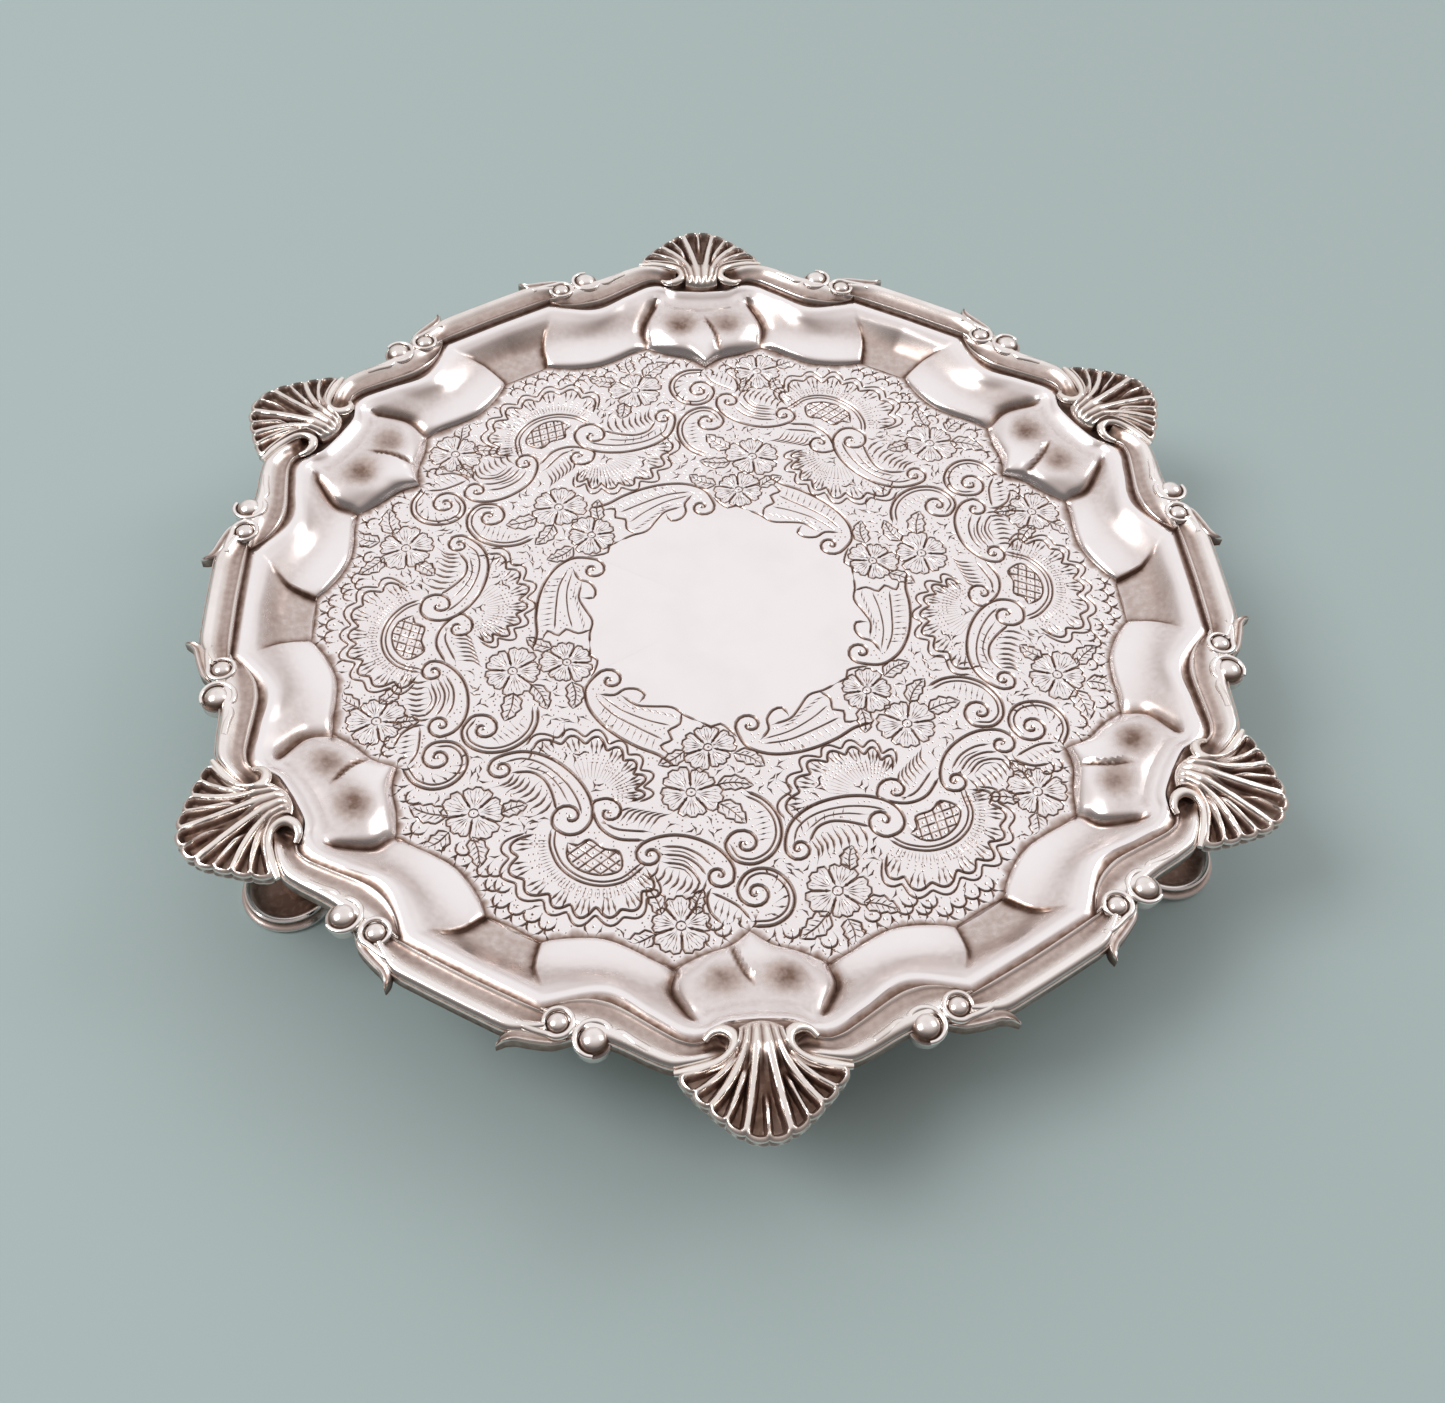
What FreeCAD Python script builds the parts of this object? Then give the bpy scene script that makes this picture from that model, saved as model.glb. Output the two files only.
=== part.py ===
"""Six-sided silver salver with a moulded and shelled border, standing on three cast pad feet.

The salver is built up as it would be on a bench: a raised sheet tray, six middle and twelve side
lengths of cast moulding soldered along its edge, six cast shells over the corners and three cast feet.
Frame: +Z up, origin on the salver's axis at the height the feet stand on, one shell towards -Y.
Angles along the border are measured from the nearest shell, in degrees. Sizes are in millimetres.
"""
import FreeCAD, Part
import math
import os

# Overall sizes
SECTORS = 6
SECTOR_ANGLE = 360 / SECTORS
HALF_SECTOR = SECTOR_ANGLE / 2
FIRST_SHELL_AZIMUTH = -90
SHELL_TIP_RADIUS = 102.5
FIELD_Z = 19.5
LEDGE_Z = 24.5
SHEET_THICKNESS = 0.9

# Moulding heights, above the foot of its skirt
SKIRT_Z = LEDGE_Z - SHEET_THICKNESS
COVE_Z = LEDGE_Z + 1.1
BEAD_RADIUS = 1.0
BEAD_Z = COVE_Z - 0.1

# Plan of the border: outer edge of the middle mouldings, and the two volute balls beside each joint
FLAT_DISTANCE = 91.0
SIDE_BALL = (15.88, 88.6, 2.0)
MID_BALL = (19.63, 87.5, 1.6)
BALL_Z = LEDGE_Z + 1.3
RING_WIDTH = 0.6
SPUR_TIP = (24.2, 93.6)

# Shell fan: its outer edge is part of a circle
FAN_RADIUS = 13.7
FAN_CENTRE = SHELL_TIP_RADIUS - FAN_RADIUS - 0.3
FAN_HALF_ANGLE = 77.0
RIBS = 9
RIB_ROOT = 85.2
SHELL_TOP_Z = LEDGE_Z + 1.4

# Feet: pads under every second shell
FEET = 3
FIRST_FOOT_AZIMUTH = 90
FOOT_RADIUS = 88.0
PAD_RADIUS = 8.3
LIP_RADIUS = 7.4
DISH_RADIUS = 5.4
DISH_Z = 1.0
LIP_Z = 2.6

# Rings of the sheet, each as (angle, radius, height) at: shell axis, middle of boss, end of boss,
# middle of panel, end of panel, middle of trough
FIELD_EDGE = [(0, 65.3, 0), (5, 69.0, 0), (9.5, 72.3, 0), (18.8, 69.5, 0), (26.1, 73.5, 0), (30, 73.2, 0)]
PANEL_LIP = [(0, 67.5, 2.0), (5, 71.0, 1.8), (9.3, 73.6, 1.2), (18.6, 70.7, 1.2), (26.0, 74.4, 0.7), (30, 75.0, 0.4)]
CAVETTO = [(0, 73.5, 3.6), (4.7, 75.0, 3.7), (8.8, 77.0, 2.6), (17.8, 75.4, 2.0), (25.0, 78.6, 2.1), (30, 79.0, 1.8)]
SHOULDER = [(0, 81.3, 4.7), (4, 82.3, 4.7), (6.5, 84.5, 4.7), (16.5, 78.7, 4.7), (22.7, 82.9, 4.7), (30, 82.6, 4.7)]
SHOULDER_CREST = [(0, 82.5, 5.4), (4, 83.3, 5.4), (6.6, 85.8, 5.4), (16.3, 80.4, 5.4), (22.2, 84.5, 5.4), (30, 84.1, 5.4)]
MOULDING_LINE = [(0, 83.6, 5), (3.5, 84.1, 5), (6.6, 87.1, 5), (15.9, 82.0, 5), (21.8, 86.0, 5), (30, 85.4, 5)]
SHEET_EDGE = [(0, 91.2, 4.9), (4, 91.1, 4.9), (8.3, 90.8, 4.9), (14, 88.2, 4.9), (19, 88.2, 4.9), (30, 90.4, 4.9)]


def place(angle, radius, z):
    """A point of the first sector: angle from the shell at -Y, radius from the axis."""
    turn = math.radians(FIRST_SHELL_AZIMUTH + angle)
    return FreeCAD.Vector(radius * math.cos(turn), radius * math.sin(turn), z)


def turned(shape, degrees):
    """A copy of the shape, turned about the salver's axis."""
    copy = shape.copy()
    copy.rotate(FreeCAD.Vector(0, 0, 0), FreeCAD.Vector(0, 0, 1), degrees)
    return copy


def mirrored(shape):
    """The shape on the other side of the first shell."""
    return shape.mirror(FreeCAD.Vector(0, 0, 0), FreeCAD.Vector(1, 0, 0))


def arc(start, middle, end):
    """An edge along the circle through three points."""
    return Part.Arc(start, middle, end).toShape()


def ring(keys, base_z):
    """A closed outline with the same five arcs in every sector, from six key points."""
    tip, boss, boss_end, panel, panel_end, trough = keys
    half = [tip, boss, boss_end, panel, panel_end]
    other_half = [(SECTOR_ANGLE - angle, radius, z) for angle, radius, z in reversed(half)]
    sector = half + [trough] + other_half
    edges = []
    for index in range(SECTORS):
        points = [place(angle + index * SECTOR_ANGLE, radius, base_z + z) for angle, radius, z in sector]
        for first in range(0, len(points) - 1, 2):
            edges.append(arc(points[first], points[first + 1], points[first + 2]))
    return Part.Wire(edges)


def make_tray():
    """The raised sheet: flat field, panelled cavetto, rounded shoulder and a ledge under the mouldings."""
    under = FIELD_Z - SHEET_THICKNESS
    underside = [ring(keys, under) for keys in (FIELD_EDGE, CAVETTO, SHOULDER, MOULDING_LINE, SHEET_EDGE)]
    top_keys = (SHEET_EDGE, MOULDING_LINE, SHOULDER_CREST, SHOULDER, CAVETTO, PANEL_LIP, FIELD_EDGE)
    top = [ring(keys, FIELD_Z) for keys in top_keys]
    return Part.makeLoft(underside + top, True, True)


def extruded(wire, low, high):
    """A solid over a plan outline drawn at height zero."""
    face = Part.Face(wire)
    face.translate(FreeCAD.Vector(0, 0, low))
    return face.extrude(FreeCAD.Vector(0, 0, high - low))


def drum(ball):
    """A volute's drum with its ball on top."""
    angle, radius, size = ball
    centre = place(angle, radius, 0)
    body = Part.makeCylinder(size + RING_WIDTH, COVE_Z - SKIRT_Z, centre + FreeCAD.Vector(0, 0, SKIRT_Z))
    return body.fuse(Part.makeSphere(size, centre + FreeCAD.Vector(0, 0, BALL_Z)))


def bead(path):
    """A round bead along a plan edge, at bead height."""
    lifted = path.copy()
    lifted.translate(FreeCAD.Vector(0, 0, BEAD_Z))
    start = lifted.valueAt(lifted.FirstParameter)
    direction = lifted.tangentAt(lifted.FirstParameter)
    section = Part.Wire(Part.makeCircle(BEAD_RADIUS, start, direction))
    return Part.Wire(lifted).makePipeShell([section], True, False)


def flat_point(offset, distance):
    """A point of the middle moulding's straight run, offset along it from the middle of the side."""
    return place(HALF_SECTOR + math.degrees(math.atan2(offset, distance)), math.hypot(offset, distance), 0)


def make_mid_moulding():
    """The straight moulding between two joints, with a volute and a leaf spur at both ends."""
    half_run = 10.4
    inner = arc(place(21.8, 86.0, 0), place(30, 85.4, 0), place(38.2, 86.0, 0))
    outer = [flat_point(half_run, FLAT_DISTANCE), flat_point(-half_run, FLAT_DISTANCE)]
    far_end = Part.makePolygon([place(38.2, 86.0, 0), place(40.0, 88.6, 0), outer[0]])
    edge = Part.makePolygon(outer)
    near_end = Part.makePolygon([outer[1], place(20.0, 88.6, 0), place(21.8, 86.0, 0)])
    band = extruded(Part.Wire([inner, *far_end.Edges, *edge.Edges, *near_end.Edges]), SKIRT_Z, COVE_Z)
    bead_line = [flat_point(half_run, FLAT_DISTANCE - BEAD_RADIUS), flat_point(-half_run, FLAT_DISTANCE - BEAD_RADIUS)]
    moulding = band.fuse(bead(Part.LineSegment(*bead_line).toShape()))
    spur_outline = Part.Wire([
        arc(place(18.9, 89.6, 0), place(21.6, 91.0, 0), place(*SPUR_TIP, 0)),
        Part.LineSegment(place(*SPUR_TIP, 0), place(23.6, 90.4, 0)).toShape(),
        Part.LineSegment(place(23.6, 90.4, 0), place(20.5, 88.4, 0)).toShape(),
        Part.LineSegment(place(20.5, 88.4, 0), place(18.9, 89.6, 0)).toShape(),
    ])
    ending = extruded(spur_outline, SKIRT_Z, COVE_Z + 0.4).fuse(drum(MID_BALL))
    other_ending = turned(mirrored(ending), SECTOR_ANGLE)
    return moulding.fuse([ending, other_ending]).removeSplitter()


def make_side_moulding():
    """The S-curved moulding from a shell's flank to the outward volute beside a joint."""
    inner = [
        arc(place(6.6, 87.1, 0), place(11.2, 84.1, 0), place(15.9, 82.0, 0)),
        arc(place(15.9, 82.0, 0), place(19.7, 83.2, 0), place(21.8, 86.0, 0)),
    ]
    tail = Part.makePolygon([place(21.8, 86.0, 0), place(18.0, 88.4, 0), place(15.0, 90.2, 0), place(13.6, 89.2, 0)])
    outer = arc(place(13.6, 89.2, 0), place(11.0, 90.2, 0), place(8.3, 91.5, 0))
    flank = Part.LineSegment(place(8.3, 91.5, 0), place(6.6, 87.1, 0)).toShape()
    band = extruded(Part.Wire([*inner, *tail.Edges, outer, flank]), SKIRT_Z, COVE_Z)
    bead_line = arc(place(13.6, 88.2, 0), place(11.0, 89.2, 0), place(8.0, 90.4, 0))
    return band.fuse([bead(bead_line), drum(SIDE_BALL)]).removeSplitter()


def fan_point(fan_angle, radius):
    """A plan point of the first shell's fan; fan angle zero points away from the salver's axis."""
    turn = math.radians(fan_angle)
    return FreeCAD.Vector(radius * math.sin(turn), -FAN_CENTRE - radius * math.cos(turn), 0)


def make_shell():
    """A cast shell: scalloped fan with rounded ribs gathered into a neck over the border."""
    step = 2 * FAN_HALF_ANGLE / (RIBS + 1)
    joints = [fan_point(-FAN_HALF_ANGLE + step * index, FAN_RADIUS) for index in range(RIBS + 2)]
    crowns = [fan_point(-FAN_HALF_ANGLE + step * (index + 0.5), FAN_RADIUS + 0.5) for index in range(RIBS + 1)]
    scallops = [arc(joints[index], crowns[index], joints[index + 1]) for index in range(RIBS + 1)]
    right_neck = arc(joints[-1], FreeCAD.Vector(6.6, -89.6, 0), FreeCAD.Vector(3.4, -84.7, 0))
    crown = arc(FreeCAD.Vector(3.4, -84.7, 0), FreeCAD.Vector(0, -83.6, 0), FreeCAD.Vector(-3.4, -84.7, 0))
    left_neck = arc(FreeCAD.Vector(-3.4, -84.7, 0), FreeCAD.Vector(-6.6, -89.6, 0), joints[0])
    base = extruded(Part.Wire([*scallops, right_neck, crown, left_neck]), SKIRT_Z, SHELL_TOP_Z)
    ribs = []
    for index in range(RIBS):
        fan_angle = -FAN_HALF_ANGLE + step * (index + 1)
        root = FreeCAD.Vector(fan_angle / FAN_HALF_ANGLE * 2.4, -RIB_ROOT, SHELL_TOP_Z + 0.5)
        tip = fan_point(fan_angle, FAN_RADIUS - 0.9) + FreeCAD.Vector(0, 0, SHELL_TOP_Z)
        ribs.append(Part.makeCone(0.6, 1.0, (tip - root).Length, root, tip - root))
    return base.fuse(ribs).removeSplitter()


def make_foot():
    """A cast foot under the shell at +Y: dished pad with a double lip, and a leg up to the sheet."""
    profile = [
        (0, 0), (PAD_RADIUS, 0), (PAD_RADIUS, 0.7), (LIP_RADIUS + 0.2, 1.2), (LIP_RADIUS + 0.4, LIP_Z - 0.4),
        (LIP_RADIUS - 0.2, LIP_Z), (LIP_RADIUS - 0.8, LIP_Z - 0.2), (DISH_RADIUS, DISH_Z), (0, DISH_Z),
    ]
    outline = Part.makePolygon([FreeCAD.Vector(radius, 0, z) for radius, z in profile + profile[:1]])
    pad = Part.Face(outline).revolve(FreeCAD.Vector(0, 0, 0), FreeCAD.Vector(0, 0, 1), 360)
    leg_sections = [(-0.3, 0.8, 3.9, 3.8), (-2.2, 6.0, 2.6, 2.6), (-2.6, 13.0, 3.4, 3.4), (-2.3, 19.0, 5.0, 3.6),
                    (-2.3, 23.8, 7.0, 3.8)]
    wires = []
    for shift, z, across, along in leg_sections:
        ellipse = Part.Ellipse(FreeCAD.Vector(0, 0, 0), across, along) if across > along else \
            Part.Circle(FreeCAD.Vector(0, 0, 0), FreeCAD.Vector(0, 0, 1), across)
        wire = Part.Wire(ellipse.toShape())
        wire.translate(FreeCAD.Vector(0, shift, z))
        wires.append(wire)
    foot = pad.fuse(Part.makeLoft(wires, True, False))
    foot.translate(FreeCAD.Vector(0, FOOT_RADIUS, 0))
    return foot.removeSplitter()


def save(shape, name):
    """Writes one piece to its own STEP file."""
    solids = shape.Solids
    if not shape.isValid() or len(solids) != 1:
        raise ValueError(f"{name}: {len(solids)} solids, valid {shape.isValid()}")
    solids[0].exportStep(f"parts/{name}.step")
    print(f"{name}: {shape.Volume:.0f} cubic mm, top at {shape.BoundBox.ZMax:.2f}")
    return shape.Volume


def main():
    os.makedirs("parts", exist_ok=True)
    tray = make_tray()
    shell = make_shell().cut(tray)
    neighbour_shell = turned(shell, SECTOR_ANGLE)
    mid_moulding = make_mid_moulding().cut([tray, shell, neighbour_shell])
    side_moulding = make_side_moulding().cut([tray, shell, mid_moulding])
    foot = make_foot().cut([tray, turned(shell, 180)])
    volume = save(tray, "tray_plate")
    for index in range(SECTORS):
        turn = index * SECTOR_ANGLE
        volume += save(turned(shell, turn), f"shell_{index + 1}")
        volume += save(turned(mid_moulding, turn), f"mid_moulding_{index + 1}")
        volume += save(turned(side_moulding, turn), f"side_moulding_{index + 1}_right")
        volume += save(turned(mirrored(side_moulding), turn), f"side_moulding_{index + 1}_left")
    for index in range(FEET):
        volume += save(turned(foot, index * 360 / FEET), f"foot_{index + 1}")
    print(f"metal {volume / 1000:.1f} cubic cm")


main()
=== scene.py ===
import math
import random

import bpy
import bmesh
import numpy as np
from mathutils import Matrix, Vector, geometry, kdtree


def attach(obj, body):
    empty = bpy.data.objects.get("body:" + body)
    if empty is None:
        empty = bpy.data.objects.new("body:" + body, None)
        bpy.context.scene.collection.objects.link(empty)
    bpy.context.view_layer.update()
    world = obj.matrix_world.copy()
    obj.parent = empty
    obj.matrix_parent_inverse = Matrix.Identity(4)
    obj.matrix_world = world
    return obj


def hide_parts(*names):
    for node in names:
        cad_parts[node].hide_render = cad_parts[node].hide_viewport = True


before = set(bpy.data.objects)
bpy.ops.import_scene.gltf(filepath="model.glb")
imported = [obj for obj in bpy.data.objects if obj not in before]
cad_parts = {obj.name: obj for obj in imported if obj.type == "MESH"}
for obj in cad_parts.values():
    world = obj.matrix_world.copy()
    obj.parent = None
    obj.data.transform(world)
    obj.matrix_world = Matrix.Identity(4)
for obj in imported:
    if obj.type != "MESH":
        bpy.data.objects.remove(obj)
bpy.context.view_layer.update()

MM = 0.001
SECTORS = 6
SECTOR_ANGLE = 360 / SECTORS
FIRST_SHELL_AZIMUTH = -90
FIELD_Z = 19.5
LEDGE_Z = 24.5
SHEET_THICKNESS = 0.9
SKIRT_Z = LEDGE_Z - SHEET_THICKNESS

# Volutes beside each joint of the border: (angle, radius, ball radius)
SIDE_BALL = (15.88, 88.7, 2.25)
MID_BALL = (19.63, 87.5, 1.75)

# Shell fan
FAN_RADIUS = 12.75
FAN_CENTRE = 88.5
FAN_HALF_ANGLE = 77.0
RIBS = 9
# The ribs in turn: half width, and how far down the fan each one starts
RIB_WIDTHS = (0.5, 0.40, 0.6, 0.36, 0.55, 0.18, 0.66, 0.20, 0.58, 0.36, 0.5)
RIB_STARTS = (-1, 0.34, -1, 0.42, -1, 0.62, -1, 0.52, -1, 0.34, -1)

# Feet, the first one under the shell opposite the first
FEET = 3
FOOT_RADIUS = 88.0

# Rings of the sheet from the field outwards: (angle, radius, height above the field) along the boss in
# front of a shell, along the panel beside it, and along half of the trough in the middle of a side
FIELD_EDGE = [
    [(0, 65.3, 0), (1.7, 67.0, 0), (3.4, 68.2, 0), (6.6, 69.8, 0), (9.5, 72.3, 0)],
    [(9.5, 72.3, 0), (12.1, 71.4, 0), (14.9, 70.2, 0), (18.4, 69.5, 0), (21.7, 70.3, 0), (24.6, 72.0, 0),
     (26.1, 73.5, 0)],
    [(26.1, 73.5, 0), (30, 73.2, 0)],
]
PANEL_LIP = [
    [(0, 66.9, 1.7), (2.6, 69.4, 2.2), (5.6, 70.9, 2.1), (9.4, 73.6, 1.0)],
    [(9.4, 73.6, 1.0), (12.4, 72.3, 1.2), (18.6, 70.8, 1.2), (24.2, 73.1, 1.0), (26.0, 74.4, 0.7)],
    [(26.0, 74.4, 0.5), (30, 74.9, 0.4)],
]
CAVETTO = [
    [(0, 73.5, 4.0), (5.4, 75.0, 3.8), (9.3, 77.3, 2.3)],
    [(9.3, 77.3, 2.3), (13.4, 75.7, 2.2), (17.8, 75.4, 2.2), (25.0, 78.6, 2.2)],
    [(25.0, 78.6, 2.0), (30, 79.0, 1.7)],
]
SHOULDER = [
    [(0, 79.8, 4.05), (3.8, 80.6, 4.1), (5.4, 82.2, 4.3), (6.5, 82.8, 4.4)],
    [(6.5, 82.8, 4.4), (8.0, 82.5, 4.5), (11.0, 80.8, 4.6), (16.5, 78.5, 4.6), (22.7, 82.5, 4.6)],
    [(22.7, 82.5, 4.6), (30, 82.2, 4.6)],
]
SHOULDER_CREST = [
    [(0, 82.3, 5.45), (3.4, 82.8, 5.45), (5.3, 84.3, 5.45), (6.6, 84.8, 5.45)],
    [(6.6, 84.8, 5.45), (8.0, 84.5, 5.45), (11.0, 82.6, 5.45), (16.3, 80.2, 5.45), (22.2, 84.3, 5.45)],
    [(22.2, 84.3, 5.45), (30, 83.9, 5.45)],
]
MOULDING_LINE = [
    [(0, 83.8, 5.0), (3.3, 84.2, 5.0), (5.2, 86.0, 5.0), (6.6, 86.6, 5.0)],
    [(6.6, 86.6, 5.0), (8.0, 86.2, 5.0), (11.0, 84.2, 5.0), (15.9, 82.0, 5.0), (21.8, 86.0, 5.0)],
    [(21.8, 86.0, 5.0), (30, 85.4, 5.0)],
]
SHEET_EDGE = [
    [(0, 91.2, 4.9), (4, 91.1, 4.9), (8.3, 90.8, 4.9)],
    [(8.3, 90.8, 4.9), (11.0, 89.4, 4.9), (14, 88.2, 4.9), (19, 88.2, 4.9)],
    [(19, 88.2, 4.9), (30, 90.4, 4.9)],
]
COLUMNS = (26, 50, 14)
ROWS = (8, 11, 8, 4, 4, 1)


# ---- Plan geometry

def polar(angle, radius):
    """Plan point at an angle from the first shell's axis."""
    turn = math.radians(FIRST_SHELL_AZIMUTH + angle)
    return np.array([radius * math.cos(turn), radius * math.sin(turn)])


def rotated(points, degrees):
    """Points turned about the salver's axis."""
    cos, sin = math.cos(math.radians(degrees)), math.sin(math.radians(degrees))
    out = np.array(points, float)
    x, y = out[..., 0].copy(), out[..., 1].copy()
    out[..., 0] = x * cos - y * sin
    out[..., 1] = x * sin + y * cos
    return out


def mirrored(points):
    """Points on the other side of the first shell's axis."""
    out = np.array(points, float)
    out[..., 0] *= -1
    return out


def between(a, b, c, d, t):
    """A point between b and c on a smooth curve through four points."""
    return b + 0.5 * t * (c - a + t * (2 * a - 5 * b + 4 * c - d + t * (3 * (b - c) + d - a)))


def spline(points, step):
    """Points about one step apart on a smooth curve through the given ones."""
    keys = np.array(points, float)
    ends = np.vstack([2 * keys[0] - keys[1], keys, 2 * keys[-1] - keys[-2]])
    out = []
    for index in range(len(keys) - 1):
        count = max(1, round(float(np.linalg.norm(keys[index + 1] - keys[index])) / step))
        out.append(between(*ends[index:index + 4], np.linspace(0, 1, count, endpoint=False)[:, None]))
    return np.vstack(out + [keys[-1:]])


def resampled(points, count):
    """The same polyline with count evenly spaced points."""
    points = np.asarray(points, float)
    lengths = np.r_[0, np.cumsum(np.linalg.norm(np.diff(points, axis=0), axis=1))]
    wanted = np.linspace(0, lengths[-1], count)
    return np.stack([np.interp(wanted, lengths, points[:, k]) for k in range(points.shape[1])], 1)


def normals_of(points):
    """Unit plan normals, to the left of a polyline."""
    along = np.gradient(points[:, :2], axis=0)
    along /= np.maximum(np.linalg.norm(along, axis=1, keepdims=True), 1e-9)
    return np.stack([-along[:, 1], along[:, 0]], 1)


def bearing(points):
    """Degrees from the first shell's axis to plan points."""
    points = np.asarray(points, float)
    return np.degrees(np.arctan2(points[..., 1], points[..., 0])) - FIRST_SHELL_AZIMUTH


def halved(angle):
    """The same angle between -180 and 180 degrees."""
    return (angle + 180) % 360 - 180


def smoothstep(low, high, value):
    t = np.clip((np.asarray(value, float) - low) / (high - low), 0, 1)
    return t * t * (3 - 2 * t)


# ---- Mesh building

# The wall of a casting starts just under its top edge and is painted dark there and at its foot: painted
# shade for the dark room that the walls reflect
BROW_DROP = 0.08
PAINTED_WALL_SHADE = (0.60, 0.92)


class Shape:
    """A mesh being built, in millimetres, with a value of patina and painted shade on every point."""

    def __init__(self):
        self.points = []
        self.patina_and_shade = []
        self.faces = []
        self.count = 0

    def add(self, points, faces, patina_and_shade=0.0):
        points = np.asarray(points, float).reshape(-1, 3)
        self.points.append(points)
        self.patina_and_shade.append(np.broadcast_to(np.asarray(patina_and_shade, float).reshape(-1), (len(points),)))
        self.faces += [tuple(int(i) + self.count for i in face) for face in faces]
        self.count += len(points)

    def add_relief(self, top, base_z, patina_and_shade):
        """A grid of top points, walled down to a flat base."""
        rows, columns = top.shape[:2]
        index = np.arange(rows * columns).reshape(rows, columns)
        faces = grid_faces(rows, columns)
        rim = np.r_[index[0], index[1:, -1], index[-1, -2::-1], index[-2:0:-1, 0]]
        flat = top.reshape(-1, 3)
        brow, foot = flat[rim].copy(), flat[rim].copy()
        brow[:, 2] -= BROW_DROP
        foot[:, 2] = base_z
        side = np.arange(len(rim)) + rows * columns
        below = side + len(rim)
        ring = range(len(rim))
        faces += [(rim[i], rim[i - 1], side[i - 1], side[i]) for i in ring]
        faces += [(side[i], side[i - 1], below[i - 1], below[i]) for i in ring]
        faces.append(tuple(below[::-1]))
        values = np.broadcast_to(patina_and_shade, (rows, columns)).reshape(-1)
        # Painted shade down the walls
        painted_wall_shade = np.repeat(PAINTED_WALL_SHADE, len(rim))
        self.add(np.vstack([flat, brow, foot]), faces, np.r_[values, painted_wall_shade])

    def add_tube(self, path, radii, patina_and_shade=0.0, squash=1.0, sides=12):
        """A round bar along a path, closed at both ends."""
        path = np.asarray(path, float)
        radii = np.broadcast_to(np.asarray(radii, float), (len(path),))
        along = np.gradient(path, axis=0)
        along /= np.maximum(np.linalg.norm(along, axis=1, keepdims=True), 1e-9)
        side = np.cross(along, [0, 0, 1.0])
        side /= np.maximum(np.linalg.norm(side, axis=1, keepdims=True), 1e-9)
        up = np.cross(side, along)
        turn = np.linspace(0, 2 * math.pi, sides, endpoint=False)
        rings = path[:, None] + radii[:, None, None] * (
            np.cos(turn)[None, :, None] * side[:, None] + squash * np.sin(turn)[None, :, None] * up[:, None])
        count = len(path) * sides
        faces = grid_faces(len(path), sides, closed=True)
        faces += [tuple(range(sides)), tuple(range(count - 1, count - sides - 1, -1))]
        values = np.repeat(np.broadcast_to(np.asarray(patina_and_shade, float), (len(path),)), sides)
        self.add(rings, faces, values)

    def add_lathe(self, centre, profile, patina_and_shade=0.0, sides=32):
        """A closed turned form: profile points (radius, z), the first and last on the axis."""
        turn = np.linspace(0, 2 * math.pi, sides, endpoint=False)
        inner = profile[1:-1]
        rings = np.array([[(centre[0] + r * math.cos(a), centre[1] + r * math.sin(a), z) for a in turn]
                          for r, z in inner])
        faces = grid_faces(len(inner), sides, closed=True)
        first = len(inner) * sides
        base = first - sides
        faces += [(first, i, (i - 1) % sides) for i in range(sides)]
        faces += [(first + 1, base + (i - 1) % sides, base + i) for i in range(sides)]
        poles = [(centre[0], centre[1], profile[0][1]), (centre[0], centre[1], profile[-1][1])]
        values = np.broadcast_to(np.asarray(patina_and_shade, float), (len(profile),))
        self.add(np.vstack([rings.reshape(-1, 3), poles]), faces,
                 np.r_[np.repeat(values[1:-1], sides), values[0], values[-1]])

    def add_shape(self, other, change=lambda points: points):
        """Another shape, with its points changed by a function."""
        self.add(change(np.vstack(other.points)), other.faces, np.concatenate(other.patina_and_shade))
        return self


def grid_faces(rows, columns, closed=False):
    """Faces of a grid of points numbered row by row; closed joins the last column to the first."""
    index = np.arange(rows * columns).reshape(rows, columns)
    if closed:
        index = np.hstack([index, index[:, :1]])
    a, b, c, d = index[:-1, :-1], index[:-1, 1:], index[1:, 1:], index[1:, :-1]
    return np.stack([a, b, c, d], -1).reshape(-1, 4).tolist()


def make_piece(name, shape, material, cad_node, sharp_angle=40):
    """The finished piece: it stands for its CAD node and rides with the salver."""
    mesh = bpy.data.meshes.new(name)
    mesh.from_pydata((np.vstack(shape.points) * MM).tolist(), [], shape.faces)
    mesh.attributes.new("patina_and_shade", "FLOAT", "POINT")
    mesh.attributes["patina_and_shade"].data.foreach_set("value", np.concatenate(shape.patina_and_shade).astype(np.float32))
    work = bmesh.new()
    work.from_mesh(mesh)
    bmesh.ops.remove_doubles(work, verts=work.verts, dist=1e-7)
    bmesh.ops.recalc_face_normals(work, faces=work.faces)
    work.to_mesh(mesh)
    work.free()
    mesh.polygons.foreach_set("use_smooth", [True] * len(mesh.polygons))
    mesh.set_sharp_from_angle(angle=math.radians(sharp_angle))
    mesh.materials.append(material)
    piece = bpy.data.objects.new(name, mesh)
    bpy.context.scene.collection.objects.link(piece)
    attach(piece, "root")
    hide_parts(cad_node)


# ---- Materials

def add_node(tree, kind, inputs=(), **settings):
    """A shader node with its settings, and its inputs set to values or linked to other nodes."""
    node = tree.nodes.new(kind)
    for key, value in settings.items():
        setattr(node, key, value)
    set_inputs(tree, node, dict(inputs))
    return node


def set_inputs(tree, node, inputs):
    for key, value in inputs.items():
        if isinstance(value, bpy.types.NodeSocket):
            tree.links.new(value, node.inputs[key])
        else:
            node.inputs[key].default_value = value


def set_ramp(node, stops):
    """Gives a colour ramp its stops, each (position, colour)."""
    elements = node.color_ramp.elements
    for element, (position, colour) in zip(elements, (stops[0], stops[-1])):
        element.position, element.color = position, (*colour, 1)
    for position, colour in stops[1:-1]:
        elements.new(position).color = (*colour, 1)


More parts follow.
